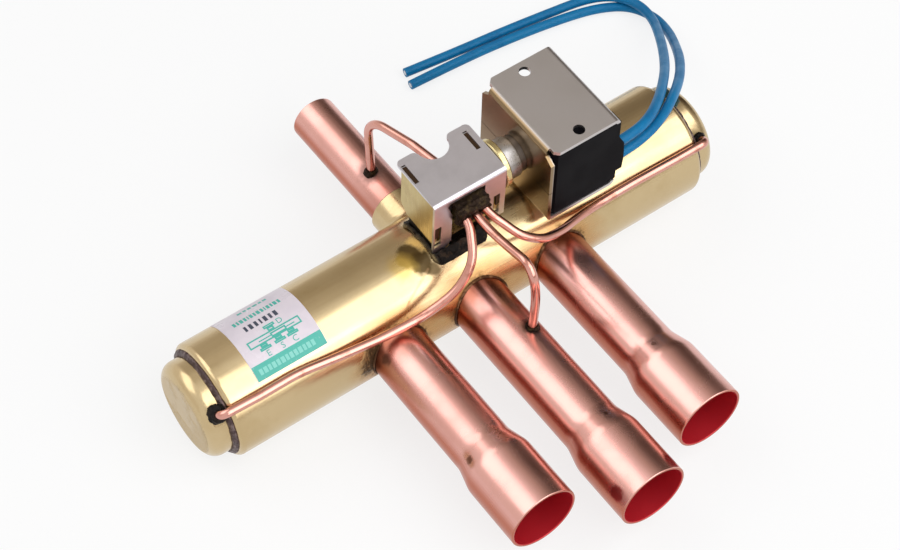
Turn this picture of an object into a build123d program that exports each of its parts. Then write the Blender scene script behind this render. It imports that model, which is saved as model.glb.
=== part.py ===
"""A four-way reversing valve with its pilot valve, coil, capillaries and brazed port tubes.

Lengths are millimetres. Pieces are built about the axis of the main body, which runs along X.
The evaporator, suction and condenser tubes face -Y, the discharge stub faces +Y and the pilot
valve sits on top. At the end everything moves so that the origin is under the middle of the
part, on the surface that the body lies on.
"""
import os
from math import cos, pi, radians, sin, sqrt, tan

from build123d import *

os.makedirs("parts", exist_ok=True)

# How far a cutting shape runs past the piece that it cuts
past = 1.0

# How much of the shorter of its two runs a rounded corner takes up
bend_share = 0.45

# Main body: a drawn tube with rolled-in rims; its length follows from the shuttle inside
body_od = 34.9
body_wall = 1.5
rim_radius = 1.6
rim_inner_radius = 0.5

# End caps: pressed cups, brazed into the rims
cap_od = 29.2
cap_wall = 1.3
cap_edge_radius = 4.0
cap_stand_out = 7.4
cap_skirt = 4.0
cap_braze_width = 2.0
cap_braze_shoulder = 1.2
cap_braze_height = 1.1
cap_braze_overlap = 0.4

# Evaporator, suction and condenser tubes
port_pitch = 27.7
port_tube_od = 17.4
port_tube_wall = 1.0
socket_bore = 19.2
socket_wall = 0.8
socket_depth = 20.0
flare_length = 6.5
flare_blend = 9.0
mouth_round = 0.25
evaporator_reach = 83.6
suction_reach = 95.1
condenser_reach = 84.8

# Discharge stub
discharge_od = 14.1
discharge_bore = 12.8
discharge_reach = 68.0
discharge_inset = 0.2

# Pulled collar of the discharge stub, with the ring of braze at its mouth
collar_wall = 1.1
collar_rise = 7.6
collar_root = 3.0
tube_fit = 0.05
collar_braze = 0.8

# Lines of braze where the three front tubes enter the body
port_braze_width = 0.7
port_braze_height = 0.6
port_braze_bevel = 0.4

# Valve seat inside the body
seat_face = 7.5
seat_half_width = 10.4
seat_margin = 1.3
seat_lip = 3.6
seat_end_gap = 0.6
port_bore = 14.0

# Main slide
slide_film = 0.04
slide_foot = 1.8
slide_foot_lip = 1.5
slide_wall = 1.4
slide_height = 10.6
slide_half_width = 8.4
slide_dome_round = 3.0
slide_cavity_round = 2.0

# Slide carrier and piston stacks
carrier_thickness = 1.5
carrier_half_width = 9.0
carrier_lift = 0.1
carrier_window_gap = 0.1
carrier_flow_radius = 6.2
carrier_tab_top = 8.0
piston_thickness = 3.0
piston_gap = 0.4
seal_gap = 0.06
seal_thickness = 1.0
seal_lip = 4.0
seal_lip_wall = 0.9
piston_plate_thickness = 1.2
piston_plate_gap = 0.6
piston_stop_gap = 0.3
piston_screw_od = 5.0
piston_screw_head_od = 8.4
piston_screw_head = 2.6
piston_screw_round = 0.9
screw_fit = 0.05

# Pilot valve: the lean of its cover, and how far its ports droop below that
pilot_lean = 4.0
port_droop = 8.0

# Pilot sleeve and what it holds
sleeve_od = 10.8
sleeve_wall = 0.6
sleeve_left = -6.1
plug_thickness = 2.0
pilot_seat_x = 3.7
pilot_seat_length = 9.9
pilot_seat_half_width = 3.3
pilot_seat_front = 8.6
pilot_seat_face = 1.9
pilot_seat_gap = 0.02
pilot_port_bore = 1.4
capillary_lead_out = 3.0
pilot_port_step = 5.0
pilot_slide_half_width = 2.0
pilot_slide_height = 1.7
pilot_slide_land = 1.0
pilot_slide_pocket = 0.8
pilot_arm_underside = 1.0
pilot_arm_thickness = 1.4
pilot_arm_half_width = 3.0
pilot_arm_finger = 1.0
pilot_finger_overlap = 0.1
finger_gap = 0.1
leaf_thickness = 0.2
leaf_half_width = 1.2
plunger_gap = 0.12
plunger_left = 14.5
plunger_length = 19.5
plunger_rest_gap = 0.5
spring_bore = 5.6
spring_bore_depth = 11.0
spring_od = 4.8
spring_wire = 0.7
spring_turns = 6
spring_end_gap = 0.2
core_gap = 0.05

# Brass disc on the sleeve beside the bracket, and the steel collar between it and the coil
disc_od = 15.0
disc_thickness = 1.95
disc_round = 0.4
disc_gap = 0.15
sleeve_collar_od = 12.2
sleeve_collar_length = 4.2
sleeve_collar_round = 0.3

# Lump of braze over the pilot seat
lump_cover_x = 0.5
lump_cover_z = 0.4
lump_front = 2.0
lump_back = 1.0
lump_corner = 1.5
lump_round = 1.3

# Capillary tubes
capillary_od = 2.6
capillary_bore = 1.4
capillary_pitch = 3.2
cap_tap_out = 2.6
cap_tap_depth = 1.0
cap_tap_sink = 0.1
left_tap_turn = 41.5
right_tap_turn = 35.6
side_capillary_bend = 60.0
suction_tap_reach = 36.6
suction_tap_x = 3.2
suction_arch_share = 0.56
suction_arch_drop = 2.3
suction_crest_out = 2.2
suction_crest_rise = 0.9
suction_capillary_bend = 11.0
discharge_tap_reach = 35.6
discharge_tap_x = -0.9
discharge_arch_share = 0.49
discharge_arch_left = 1.9
discharge_arch_rise = 2.3
discharge_crest_out = 0.4
discharge_crest_drop = 1.8
discharge_capillary_bend = 9.0
tap_depth = 0.7
tap_braze_width = 1.3
tap_braze_rim = 0.2
tap_braze_height = 0.8

# Pilot cover: a folded sheet, local heights from the pilot axis
cover_left = -8.05
cover_width = 24.15
cover_thickness = 0.8
cover_front = 6.85
cover_rear = 12.0
cover_top = 6.65
cover_bend = 1.2
cover_corner = 1.6
notch_radius = 4.85
notch_centre_x = 3.6
notch_centre_in = 0.8
notch_shoulder = 1.8
leg_bottom_left = 15.2
leg_bottom_right = 14.2
leg_chamfer = 2.2
left_leg_width = 6.1
right_leg_width = 7.2
slot_side_gap = 0.1
top_slot_inner_gap = 0.05
front_slot_inner_gap = 0.8
front_slot_height = 9.0
front_slot_top = 3.6

# Bay in the cover's front flange: heights from the pilot axis, widths from the two legs
bay_top = 4.6
bay_left_shoulder = 1.0
bay_left_out = 1.6
bay_left_high = 3.6
bay_left_low = 1.2
bay_right_out = 2.0
bay_right_low = 8.0
bay_right_foot = 3.3
leg_foot_room = 0.1

# Pilot bracket: two side plates on a base
side_thickness = 1.2
side_inset_left = 0.5
side_inset_right = 1.9
side_rear = 9.6
side_rear_chamfer = 3.0
base_thickness = 1.0
top_tab_length = 6.4
top_tab_sink = 0.4
tab_end_gap = 0.3
front_tab_height = 4.4
leg_gap = 0.1
sleeve_hole_gap = 0.1

# Saddle between the bracket and the body, and its braze
saddle_height = 2.95
saddle_inset_left = 0.2
saddle_inset_right = 1.0
saddle_half_width = 5.8
saddle_braze_front = 9.4
saddle_braze_drop = 2.8
saddle_braze_left = 1.4
saddle_braze_rise = 1.2
saddle_braze_right = 9.1
saddle_braze_edge = 0.5
saddle_braze_root = 1.5
saddle_braze_corner = 2.4

# Coil frame: two channels about the pilot axis, with the coil's own lean
coil_lean = 2.5
frame_left = 24.2
frame_width = 23.6
frame_half_depth = 15.9
frame_half_height = 14.7
frame_to_body = 0.32
frame_thickness = 1.2
frame_bend = 1.8
frame_seam = 2.2
frame_seam_gap = 0.2
frame_relief = 2.8
frame_relief_step = 0.8
frame_shoulder = 4.6
frame_relief_past = 0.3
frame_cutback = 4.7
frame_cutback_past = 0.1
frame_hole = 3.4
frame_hole_spread = 12.4

# Coil: bobbin, winding and moulding
bobbin_fit = 0.15
bobbin_wall = 0.95
bobbin_flange_od = 24.4
bobbin_flange = 1.2
bobbin_end_gap = 0.1
winding_od = 22.8
moulding_gap = 0.1
moulding_front = 15.6
moulding_chamfer = 1.3
boss_flange_out = 0.5
boss_out = 2.9
boss_depth = 4.2
boss_low = 9.6
boss_high = 1.9
boss_slope = 3.9
boss_low_bevel = 0.3
boss_high_bevel = 0.4
lead_inset = 2.0
lead_exit_high = 0.2
lead_exit_low = -6.0

# Coil screw and washer
coil_screw_od = 4.0
coil_screw_head_od = 7.6
coil_screw_head = 2.4
coil_screw_round = 1.0
coil_screw_depth = 6.0
coil_screw_end_gap = 0.3
coil_washer_od = 9.0
coil_washer = 0.8
driver_slot = 1.0
driver_slot_depth = 1.1

# Lead wires
lead_od = 3.0
lead_straight = 5.0
lead_bend = 400.0

# Label on the body
label_inset = 10.7
label_width = 22.3
label_from = 40.0
label_to = 130.5
label_thickness = 0.12

# Sizes worked out from the ones above
body_r = body_od / 2
bore_r = body_r - body_wall
tube_r = port_tube_od / 2
tube_end = seat_face + seat_lip
discharge_r = discharge_od / 2
discharge_mouth = body_r + collar_rise
seat_half_length = port_pitch + tube_r + seat_margin
stroke = port_pitch
shuttle_rest = -stroke / 2
carrier_foot = -seat_face + slide_film + slide_foot + carrier_lift
tab_half = seat_half_length + seat_end_gap + stroke / 2 + carrier_thickness
stack_half = tab_half + piston_thickness + seal_thickness + seal_lip
seal_r = bore_r - seal_gap
cap_mouth = stack_half + stroke / 2 + piston_stop_gap
body_half = cap_mouth - cap_wall + cap_skirt + body_wall
cap_r = cap_od / 2
cap_face = body_half + cap_stand_out
label_left = body_half - label_inset
pilot_height = (body_r + frame_half_height + frame_to_body) / cos(radians(coil_lean))
side_bottom = pilot_height - body_r - saddle_height
sleeve_r = sleeve_od / 2
sleeve_bore_r = sleeve_r - sleeve_wall
frame_right = frame_left + frame_width
frame_inner_left = frame_left + frame_thickness
frame_inner_right = frame_right - frame_thickness
frame_middle = frame_left + frame_width / 2
pilot_stroke = capillary_pitch
pilot_slide_rest = pilot_seat_x - pilot_stroke / 2
plunger_right = plunger_left + plunger_length
core_face = plunger_right + pilot_stroke + plunger_rest_gap
cover_right = cover_left + cover_width
disc_left = cover_right + disc_gap
disc_right = disc_left + disc_thickness
opening_left = cover_left + left_leg_width
opening_right = cover_right - right_leg_width
side_left = cover_left + side_inset_left
side_right = cover_right - side_inset_right
seat_turn = pilot_lean + port_droop
capillary_r = capillary_od / 2
lead_r = lead_od / 2

in_pilot = Pos(0, 0, pilot_height) * Rot(pilot_lean, 0, 0)
in_seat = Pos(0, 0, pilot_height) * Rot(seat_turn, 0, 0)
in_coil = Pos(0, 0, pilot_height) * Rot(coil_lean, 0, 0)
to_base = Pos(0, (suction_reach - discharge_reach) / 2, body_r)


def save(name, solid):
    """Write one node, moved so that the part's origin is under its middle."""
    moved = to_base * solid
    moved.label = name
    export_step(moved, f"parts/{name}.step")


def block(x_from, x_to, y_from, y_to, z_from, z_to):
    """A box between its bounds."""
    box = Box(x_to - x_from, y_to - y_from, z_to - z_from)
    return Pos((x_from + x_to) / 2, (y_from + y_to) / 2, (z_from + z_to) / 2) * box


def rod_x(radius, x_from, x_to, y=0.0, z=0.0):
    """A round bar along X."""
    bar = Rot(0, 90, 0) * Cylinder(radius, x_to - x_from)
    return Pos((x_from + x_to) / 2, y, z) * bar


def rod_y(radius, y_from, y_to, x=0.0, z=0.0):
    """A round bar along Y."""
    bar = Rot(90, 0, 0) * Cylinder(radius, abs(y_to - y_from))
    return Pos(x, (y_from + y_to) / 2, z) * bar


def rod_z(radius, z_from, z_to, x=0.0, y=0.0):
    """A round bar along Z."""
    return Pos(x, y, (z_from + z_to) / 2) * Cylinder(radius, z_to - z_from)


def outline(points, rounds=()):
    """A flat closed outline; rounds lists the corners to round, each with its radius."""
    face = make_face(Polyline(*points, close=True))
    for corner, radius in rounds:
        face = fillet(face.vertices().sort_by_distance((*corner, 0))[0], radius)
    return face


def plate_xz(points, y_from, y_to, rounds=()):
    """A plate with an outline in X and Z, between two places along Y."""
    plate = extrude(outline(points, rounds), y_to - y_from)
    return Pos(0, y_to, 0) * Rot(90, 0, 0) * plate


def plate_yz(points, x_from, x_to, rounds=()):
    """A plate with an outline in Y and Z, between two places along X."""
    return Plane.YZ.offset(x_from) * extrude(outline(points, rounds), x_to - x_from)


def slot_up_y(length, width, height, x, y_from):
    """A round-ended bar along X that rises along +Y."""
    return Pos(x, y_from, 0) * Rot(-90, 0, 0) * extrude(SlotOverall(length, width), height)


def turn_of(points, index):
    """The angle in degrees by which a route turns at one of its points."""
    before = Vector(*points[index]) - Vector(*points[index - 1])
    after = Vector(*points[index + 1]) - Vector(*points[index])
    return before.get_angle(after)


def bend_radii(points, largest):
    """The radius at each inner corner, as large as its two runs allow."""
    radii = []
    for index in range(1, len(points) - 1):
        before = (Vector(*points[index]) - Vector(*points[index - 1])).length
        after = (Vector(*points[index + 1]) - Vector(*points[index])).length
        half_turn = radians(turn_of(points, index)) / 2
        radii.append(min(largest, bend_share * min(before, after) / tan(half_turn)))
    return radii


def swept(points, radii, outer_r, inner_r=0.0):
    """A round tube or bar along straight runs joined by arcs."""
    path = FilletPolyline(*points, radius=radii)
    section = Circle(outer_r)
    if inner_r > 0:
        section -= Circle(inner_r)
    return sweep(Plane(origin=path @ 0, z_dir=path % 0) * section, path=path)


def body_skin():
    """The outside of the main body with its rolled rims, filled in."""
    skin = outline(
        [(-body_half, 0), (-body_half, body_r), (body_half, body_r), (body_half, 0)],
        [((-body_half, body_r), rim_radius), ((body_half, body_r), rim_radius)],
    )
    return revolve(skin, Axis.X)


def main_body():
    """The drawn tube, its rolled rims, three plain holes and the collar of the stub."""
    shell = body_skin() + rod_y(discharge_r + collar_wall, 0, discharge_mouth)
    shell = fillet(collar_seams(shell), collar_root)
    inner_end = body_half - body_wall
    hollow = outline(
        [(-inner_end, 0), (-inner_end, bore_r), (inner_end, bore_r), (inner_end, 0)],
        [((-inner_end, bore_r), rim_inner_radius), ((inner_end, bore_r), rim_inner_radius)],
    )
    shell -= revolve(hollow, Axis.X)
    shell -= rod_x(cap_r + tube_fit, -body_half - past, body_half + past)
    for x in (-port_pitch, 0, port_pitch):
        shell -= rod_y(tube_r + tube_fit, -body_r - past, 0, x)
    shell -= rod_y(discharge_r + tube_fit, 0, discharge_mouth + past)
    return shell


def collar_seams(shell):
    """The curve where the collar of the discharge stub meets the skin of the body."""
    seams = []
    for edge in shell.edges():
        on_skin = 0 < edge.center().Y < body_r + past
        if on_skin and edge.geom_type != GeomType.LINE and edge.geom_type != GeomType.CIRCLE:
            seams.append(edge)
    return seams


def end_cap():
    """A pressed cup for the right end, open to the left, with the hole for its capillary."""
    cup = outline(
        [
            (cap_mouth, cap_r),
            (cap_face, cap_r),
            (cap_face, 0),
            (cap_face - cap_wall, 0),
            (cap_face - cap_wall, cap_r - cap_wall),
            (cap_mouth, cap_r - cap_wall),
        ],
        [
            ((cap_face, cap_r), cap_edge_radius),
            ((cap_face - cap_wall, cap_r - cap_wall), cap_edge_radius - cap_wall),
        ],
    )
    return revolve(cup, Axis.X)


def cap_braze():
    """The ring of braze between the right cap and the rolled rim, which it follows."""
    start = body_half - cap_braze_overlap
    ring = outline(
        [
            (start, cap_r),
            (start, cap_r + cap_braze_width),
            (body_half + cap_braze_overlap, cap_r + cap_braze_shoulder),
            (body_half + cap_braze_height, cap_r),
        ]
    )
    return revolve(ring, Axis.X) - body_skin()


def port_tube(reach):
    """A tube that widens into a socket at its mouth, at x = 0 and pointing along -Y."""
    inner_r = tube_r - port_tube_wall
    socket_r = socket_bore / 2
    socket_outer_r = socket_r + socket_wall
    shoulder = -(reach - socket_depth)
    neck = shoulder + flare_length
    wall = outline(
        [
            (inner_r, -tube_end),
            (tube_r, -tube_end),
            (tube_r, neck),
            (socket_outer_r, shoulder),
            (socket_outer_r, -reach),
            (socket_r, -reach),
            (socket_r, shoulder),
            (inner_r, neck),
        ],
        [
            ((tube_r, neck), flare_blend),
            ((socket_outer_r, shoulder), flare_blend),
            ((socket_r, shoulder), flare_blend),
            ((inner_r, neck), flare_blend),
            ((socket_outer_r, -reach), mouth_round),
            ((socket_r, -reach), mouth_round),
        ],
    )
    return revolve(wall, Axis.Y)


def discharge_tube():
    """The straight stub on the far side."""
    start = bore_r + discharge_inset
    wall = outline(
        [
            (discharge_bore / 2, start),
            (discharge_r, start),
            (discharge_r, discharge_reach),
            (discharge_bore / 2, discharge_reach),
        ],
        [((discharge_r, discharge_reach), mouth_round)],
    )
    return revolve(wall, Axis.Y)


def port_braze():
    """The line of braze round a front tube at x = 0, on the curve of the body."""
    line = rod_x(body_r + port_braze_height, -port_pitch / 2, port_pitch / 2)
    line &= rod_y(tube_r + port_braze_width, -2 * body_r, 0)
    line = chamfer(line.edges().filter_by(outer_braze_edge), port_braze_bevel)
    return line - body_skin() - rod_y(tube_r, -2 * body_r, 0)


def outer_braze_edge(edge):
    """Whether an edge of the braze is the closed curve that faces away from the body."""
    return edge.center().Y < -body_r / 2 and edge.geom_type != GeomType.LINE


def discharge_braze():
    """The thin ring of braze where the discharge stub enters its collar."""
    ring = outline(
        [
            (discharge_r, discharge_mouth),
            (discharge_r + collar_braze, discharge_mouth),
            (discharge_r, discharge_mouth + collar_braze),
        ]
    )
    return revolve(ring, Axis.Y)


def valve_seat():
    """The flat-faced bar that the three tubes enter, seated on the wall of the bore."""
    half = seat_half_length
    bar = block(-half, half, -bore_r, -seat_face, -seat_half_width, seat_half_width)
    bar &= rod_x(bore_r, -half, half)
    for x in (-port_pitch, 0, port_pitch):
        bar -= rod_y(tube_r + tube_fit, -body_r, -tube_end, x)
        bar -= rod_y(port_bore / 2, -tube_end - past, 0, x)
    return bar


def main_slide():
    """The hollow slide that joins two neighbouring ports."""
    foot = -seat_face + slide_film
    cavity_length = port_pitch + port_bore
    dome_length = cavity_length + 2 * slide_wall
    cavity_width = 2 * (slide_half_width - slide_wall)
    body = slot_up_y(
        dome_length + 2 * slide_foot_lip,
        2 * slide_half_width + slide_foot_lip,
        slide_foot,
        shuttle_rest,
        foot,
    )
    dome = slot_up_y(dome_length, 2 * slide_half_width, slide_height, shuttle_rest, foot)
    dome = fillet(dome.faces().sort_by(Axis.Y)[-1].edges(), slide_dome_round)
    cavity = slot_up_y(
        cavity_length, cavity_width, slide_height - slide_wall, shuttle_rest, foot
    )
    cavity = fillet(cavity.faces().sort_by(Axis.Y)[-1].edges(), slide_cavity_round)
    return body + dome - cavity


def slide_carrier():
    """The strip that ties both pistons, with a window for the slide and two for the flow."""
    strip = block(
        -tab_half,
        tab_half,
        carrier_foot,
        carrier_foot + carrier_thickness,
        -carrier_half_width,
        carrier_half_width,
    )
    dome_length = port_pitch + port_bore + 2 * slide_wall
    window = slot_up_y(
        dome_length + 2 * carrier_window_gap,
        2 * (slide_half_width + carrier_window_gap),
        4 * carrier_thickness,
        0,
        carrier_foot - carrier_thickness,
    )
    strip -= window
    for side in (-1, 1):
        flow = side * (port_pitch + stroke / 2)
        strip -= rod_y(carrier_flow_radius, carrier_foot - past,
                       carrier_foot + carrier_thickness + past, flow)
        inner = tab_half - carrier_thickness
        tab = block(
            min(side * inner, side * tab_half),
            max(side * inner, side * tab_half),
            carrier_foot,
            carrier_tab_top,
            -carrier_half_width,
            carrier_half_width,
        )
        strip += tab
    strip -= rod_x(piston_screw_od / 2 + screw_fit, -tab_half - past, tab_half + past)
    return Pos(shuttle_rest, 0, 0) * strip


def piston_stack():
    """Piston, seal cup, pressure plate and screw of the right end, from the carrier out."""
    hole = piston_screw_od / 2 + screw_fit
    start = tab_half
    seal_start = start + piston_thickness
    plate_start = seal_start + seal_thickness
    head_start = plate_start + piston_plate_thickness
    piston = rod_x(bore_r - piston_gap, start, seal_start)
    seal = rod_x(seal_r, seal_start, plate_start + seal_lip)
    seal -= rod_x(seal_r - seal_lip_wall, plate_start, plate_start + seal_lip + past)
    plate = rod_x(seal_r - seal_lip_wall - piston_plate_gap, plate_start, head_start)
    drill = rod_x(hole, start - past, head_start + past)
    screw = rod_x(piston_screw_od / 2, start - 2 * carrier_thickness, head_start)
    head = rod_x(piston_screw_head_od / 2, head_start, head_start + piston_screw_head)
    head = fillet(head.edges().sort_by(Axis.X)[-1], piston_screw_round)
    screw += head
    slot_end = head_start + piston_screw_head
    screw -= block(slot_end - driver_slot_depth, slot_end + past, -driver_slot / 2,
                   driver_slot / 2, -piston_screw_head_od, piston_screw_head_od)
    return piston - drill, seal - drill, plate - drill, screw


def capillary_window(radius, depth_from, depth_to):
    """The three capillary holes of the pilot seat, as bars along its port direction."""
    holes = []
    for step in (-1, 0, 1):
        x = pilot_seat_x + step * capillary_pitch
        holes.append(rod_y(radius, depth_from, depth_to, x))
    return holes


def pilot_seat_block(grow=0.0):
    """The plain block of the pilot seat, in the turned frame of the pilot's ports."""
    half = pilot_seat_length / 2 + grow
    side = pilot_seat_half_width + grow
    return block(pilot_seat_x - half, pilot_seat_x + half, -pilot_seat_front,
                 -pilot_seat_face, -side, side)


def pilot_seat():
    """The brass block that holds three capillaries and carries the pilot's flat face."""
    seat = pilot_seat_block()
    for hole in capillary_window(capillary_r, -pilot_seat_front - past, -pilot_port_step):
        seat -= hole
    for hole in capillary_window(pilot_port_bore / 2, -pilot_port_step - past, 0):
        seat -= hole
    left = pilot_seat_x - pilot_seat_length
    right = pilot_seat_x + pilot_seat_length
    outside = block(left, right, -pilot_seat_front - past, -pilot_port_step + past,
                    -pilot_seat_front, pilot_seat_front)
    seat &= rod_x(sleeve_bore_r - pilot_seat_gap, left, right) + outside
    return in_seat * seat


def pilot_sleeve():
    """The thin tube along the pilot axis, open to the seat in front and to a tap behind."""
    sleeve = rod_x(sleeve_r, sleeve_left, frame_inner_right - bobbin_end_gap)
    sleeve -= rod_x(sleeve_bore_r, sleeve_left - past, frame_right)
    turned = in_seat * sleeve
    turned -= in_seat * pilot_seat_block(pilot_seat_gap)
    turned -= in_seat * rod_y(capillary_r, 0, sleeve_od, pilot_seat_x)
    return turned


def pilot_end_plug():
    """The plug that closes the sleeve's left end."""
    return in_pilot * rod_x(sleeve_bore_r, sleeve_left, sleeve_left + plug_thickness)


def pilot_slide():
    """The small slide that joins two neighbouring pilot ports."""
    half = capillary_pitch / 2 + pilot_port_bore / 2 + pilot_slide_land
    foot = -pilot_seat_face + slide_film
    slide = block(-half, half, foot, foot + pilot_slide_height,
                  -pilot_slide_half_width, pilot_slide_half_width)
    pocket = slot_up_y(
        capillary_pitch + pilot_port_bore, pilot_port_bore, pilot_slide_pocket, 0, foot
    )
    return in_seat * Pos(pilot_slide_rest, 0, 0) * (slide - pocket)


def pilot_slide_spring():
    """The bowed leaf that holds the pilot slide on its seat."""
    low = -pilot_seat_face + slide_film + pilot_slide_height
    high = pilot_arm_underside
    half = capillary_pitch / 2 + pilot_port_bore / 2
    top_line = ThreePointArc((-half, low + leaf_thickness), (0, high), (half, low + leaf_thickness))
    low_line = ThreePointArc((half, low), (0, high - leaf_thickness), (-half, low))
    edges = [
        top_line,
        Line(top_line @ 1, low_line @ 0),
        low_line,
        Line(low_line @ 1, top_line @ 0),
    ]
    leaf = extrude(make_face(edges), 2 * leaf_half_width)
    return in_seat * Pos(pilot_slide_rest, 0, -leaf_half_width) * leaf


def plunger():
    """The steel plunger, its arm over the pilot slide and the bore for its spring."""
    body = rod_x(sleeve_bore_r - plunger_gap, plunger_left, plunger_right)
    half = capillary_pitch / 2 + pilot_port_bore / 2 + pilot_slide_land + finger_gap
    arm_left = pilot_slide_rest - half - pilot_arm_finger
    arm = block(arm_left, plunger_left + past, pilot_arm_underside,
                pilot_arm_underside + pilot_arm_thickness,
                -pilot_arm_half_width, pilot_arm_half_width)
    finger_foot = -pilot_seat_face + slide_film + pilot_slide_height / 2
    for side in (-1, 1):
        near = pilot_slide_rest + side * half
        far = near + side * pilot_arm_finger
        finger_top = pilot_arm_underside + pilot_finger_overlap
        arm += block(min(near, far), max(near, far), finger_foot, finger_top,
                     -pilot_slide_half_width, pilot_slide_half_width)
    body -= rod_x(spring_bore / 2, plunger_right - spring_bore_depth, plunger_right + past)
    return in_seat * (body + arm)


def pilot_spring():
    """The return spring between the plunger's bore and the fixed core."""
    start = plunger_right - spring_bore_depth + spring_wire / 2 + spring_end_gap
    end = core_face - spring_wire / 2 - spring_end_gap
    radius = (spring_od - spring_wire) / 2
    coil = Helix((end - start) / spring_turns, end - start, radius)
    section = Plane(origin=coil @ 0, z_dir=coil % 0) * Circle(spring_wire / 2)
    return in_pilot * Pos(start, 0, 0) * Rot(0, 90, 0) * sweep(section, path=coil)


def fixed_core():
    """The core that closes the right end of the sleeve and takes the coil screw."""
    end = frame_inner_right - bobbin_end_gap
    core = rod_x(sleeve_bore_r - core_gap, core_face, end)
    core -= rod_x(coil_screw_od / 2, end - coil_screw_depth, end + past)
    return in_pilot * core


def pilot_disc():
    """The brass disc on the sleeve, next to the bracket."""
    disc = fillet(rod_x(disc_od / 2, disc_left, disc_right).edges(), disc_round)
    return in_pilot * (disc - rod_x(sleeve_r, disc_left - past, disc_right + past))


def sleeve_collar():
    """The steel collar on the sleeve, from the disc towards the coil."""
    end = disc_right + sleeve_collar_length
    collar = rod_x(sleeve_collar_od / 2, disc_right, end)
    collar = fillet(collar.edges().sort_by(Axis.X)[-1], sleeve_collar_round)
    return in_pilot * (collar - rod_x(sleeve_r, disc_right - past, end + past))


def side_slots(gap_inner):
    """The X ranges of the two slots that take the tabs of the side plates."""
    left = (side_left - slot_side_gap, side_left + side_thickness + gap_inner)
    right = (side_right - side_thickness - gap_inner, side_right + slot_side_gap)
    return left, right


def cover_plan():
    """The cover from above, with its rounded corners and the round notch at the rear."""
    plan = outline(
        [
            (cover_left, -cover_front - past),
            (cover_right, -cover_front - past),
            (cover_right, cover_rear),
            (cover_left, cover_rear),
        ],
        [((cover_right, cover_rear), cover_corner), ((cover_left, cover_rear), cover_corner)],
    )
    plan -= Pos(notch_centre_x, cover_rear - notch_centre_in) * Circle(notch_radius)
    mouth = sqrt(notch_radius**2 - notch_centre_in**2)
    for side in (-1, 1):
        shoulder = (notch_centre_x + side * mouth, cover_rear, 0)
        plan = fillet(plan.vertices().sort_by_distance(shoulder)[0], notch_shoulder)
    return plan


def pilot_cover():
    """The folded sheet: a top plate with two arms, and a front flange with two legs."""
    front = -cover_front
    top = cover_top
    low = top - cover_thickness
    fold = plate_yz(
        [
            (front, -leg_bottom_left),
            (front, top),
            (cover_rear, top),
            (cover_rear, low),
            (front + cover_thickness, low),
            (front + cover_thickness, -leg_bottom_left),
        ],
        cover_left,
        cover_right,
        [((front, top), cover_bend), ((front + cover_thickness, low), cover_bend - cover_thickness)],
    )
    fold &= Pos(0, 0, -2 * cover_rear) * extrude(cover_plan(), 4 * cover_rear)
    return in_pilot * (fold - cover_openings())


def cover_openings():
    """What is cut from the front flange and the top plate of the cover."""
    front = -cover_front
    inner = front + cover_thickness
    bay = plate_xz(
        [
            (opening_left, -leg_bottom_left - past),
            (opening_left, -bay_left_low),
            (opening_left - bay_left_out, bay_left_high),
            (opening_left - bay_left_shoulder, bay_top),
            (opening_right, bay_top),
            (opening_right, 0),
            (opening_right + bay_right_out, -bay_right_low),
            (opening_right + bay_right_foot, -leg_bottom_left - past),
        ],
        front - past,
        inner,
    )
    foot = plate_xz(
        [
            (opening_left + leg_foot_room, -leg_bottom_left - leg_foot_room),
            (opening_left + leg_foot_room, -leg_bottom_left + leg_chamfer),
            (opening_left - leg_chamfer, -leg_bottom_left - leg_foot_room),
        ],
        front - past,
        inner,
    )
    short = block(opening_right, cover_right + past, front - past, inner,
                  -leg_bottom_left - past, -leg_bottom_right)
    cuts = bay + foot + short
    for x_from, x_to in side_slots(top_slot_inner_gap):
        rear = side_rear + tab_end_gap
        cuts += block(x_from, x_to, rear - top_tab_length - 2 * tab_end_gap, rear,
                      cover_top - 2 * cover_thickness, cover_top + past)
    for x_from, x_to in side_slots(front_slot_inner_gap):
        cuts += block(x_from, x_to, front - past, inner,
                      -front_slot_top - front_slot_height, -front_slot_top)
    return cuts


def pilot_bracket():
    """Two side plates on a base, with tabs that stand in the cover's slots."""
    front = -cover_front + cover_thickness
    top = cover_top - cover_thickness
    low = -side_bottom
    side = [
        (front, low),
        (front, top),
        (side_rear - top_tab_length, top),
        (side_rear - top_tab_length, cover_top - top_tab_sink),
        (side_rear, cover_top - top_tab_sink),
        (side_rear, low + side_rear_chamfer),
        (side_rear - side_rear_chamfer, low),
    ]
    rounded = [((front, top), cover_bend)]
    left = plate_yz(side, side_left, side_left + side_thickness, rounded)
    right = plate_yz(side, side_right - side_thickness, side_right, rounded)
    right -= rod_x(sleeve_r + sleeve_hole_gap, side_right - 2 * side_thickness, cover_right)
    base = block(side_left, side_right, front, side_rear - side_rear_chamfer, low,
                 low + base_thickness)
    bracket = left + right + base
    tab_top = -front_slot_top - tab_end_gap
    for x in (side_left, side_right - side_thickness):
        bracket += block(x, x + side_thickness, -cover_front, front + side_thickness,
                         tab_top - front_tab_height, tab_top)
    return in_pilot * bracket


def pilot_saddle():
    """The block between the bracket's base and the body, cut to the body's curve."""
    block_up = in_pilot * block(
        side_left + saddle_inset_left,
        side_right - saddle_inset_right,
        -saddle_half_width,
        saddle_half_width,
        -pilot_height,
        -side_bottom,
    )
    return block_up - body_skin()


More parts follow.
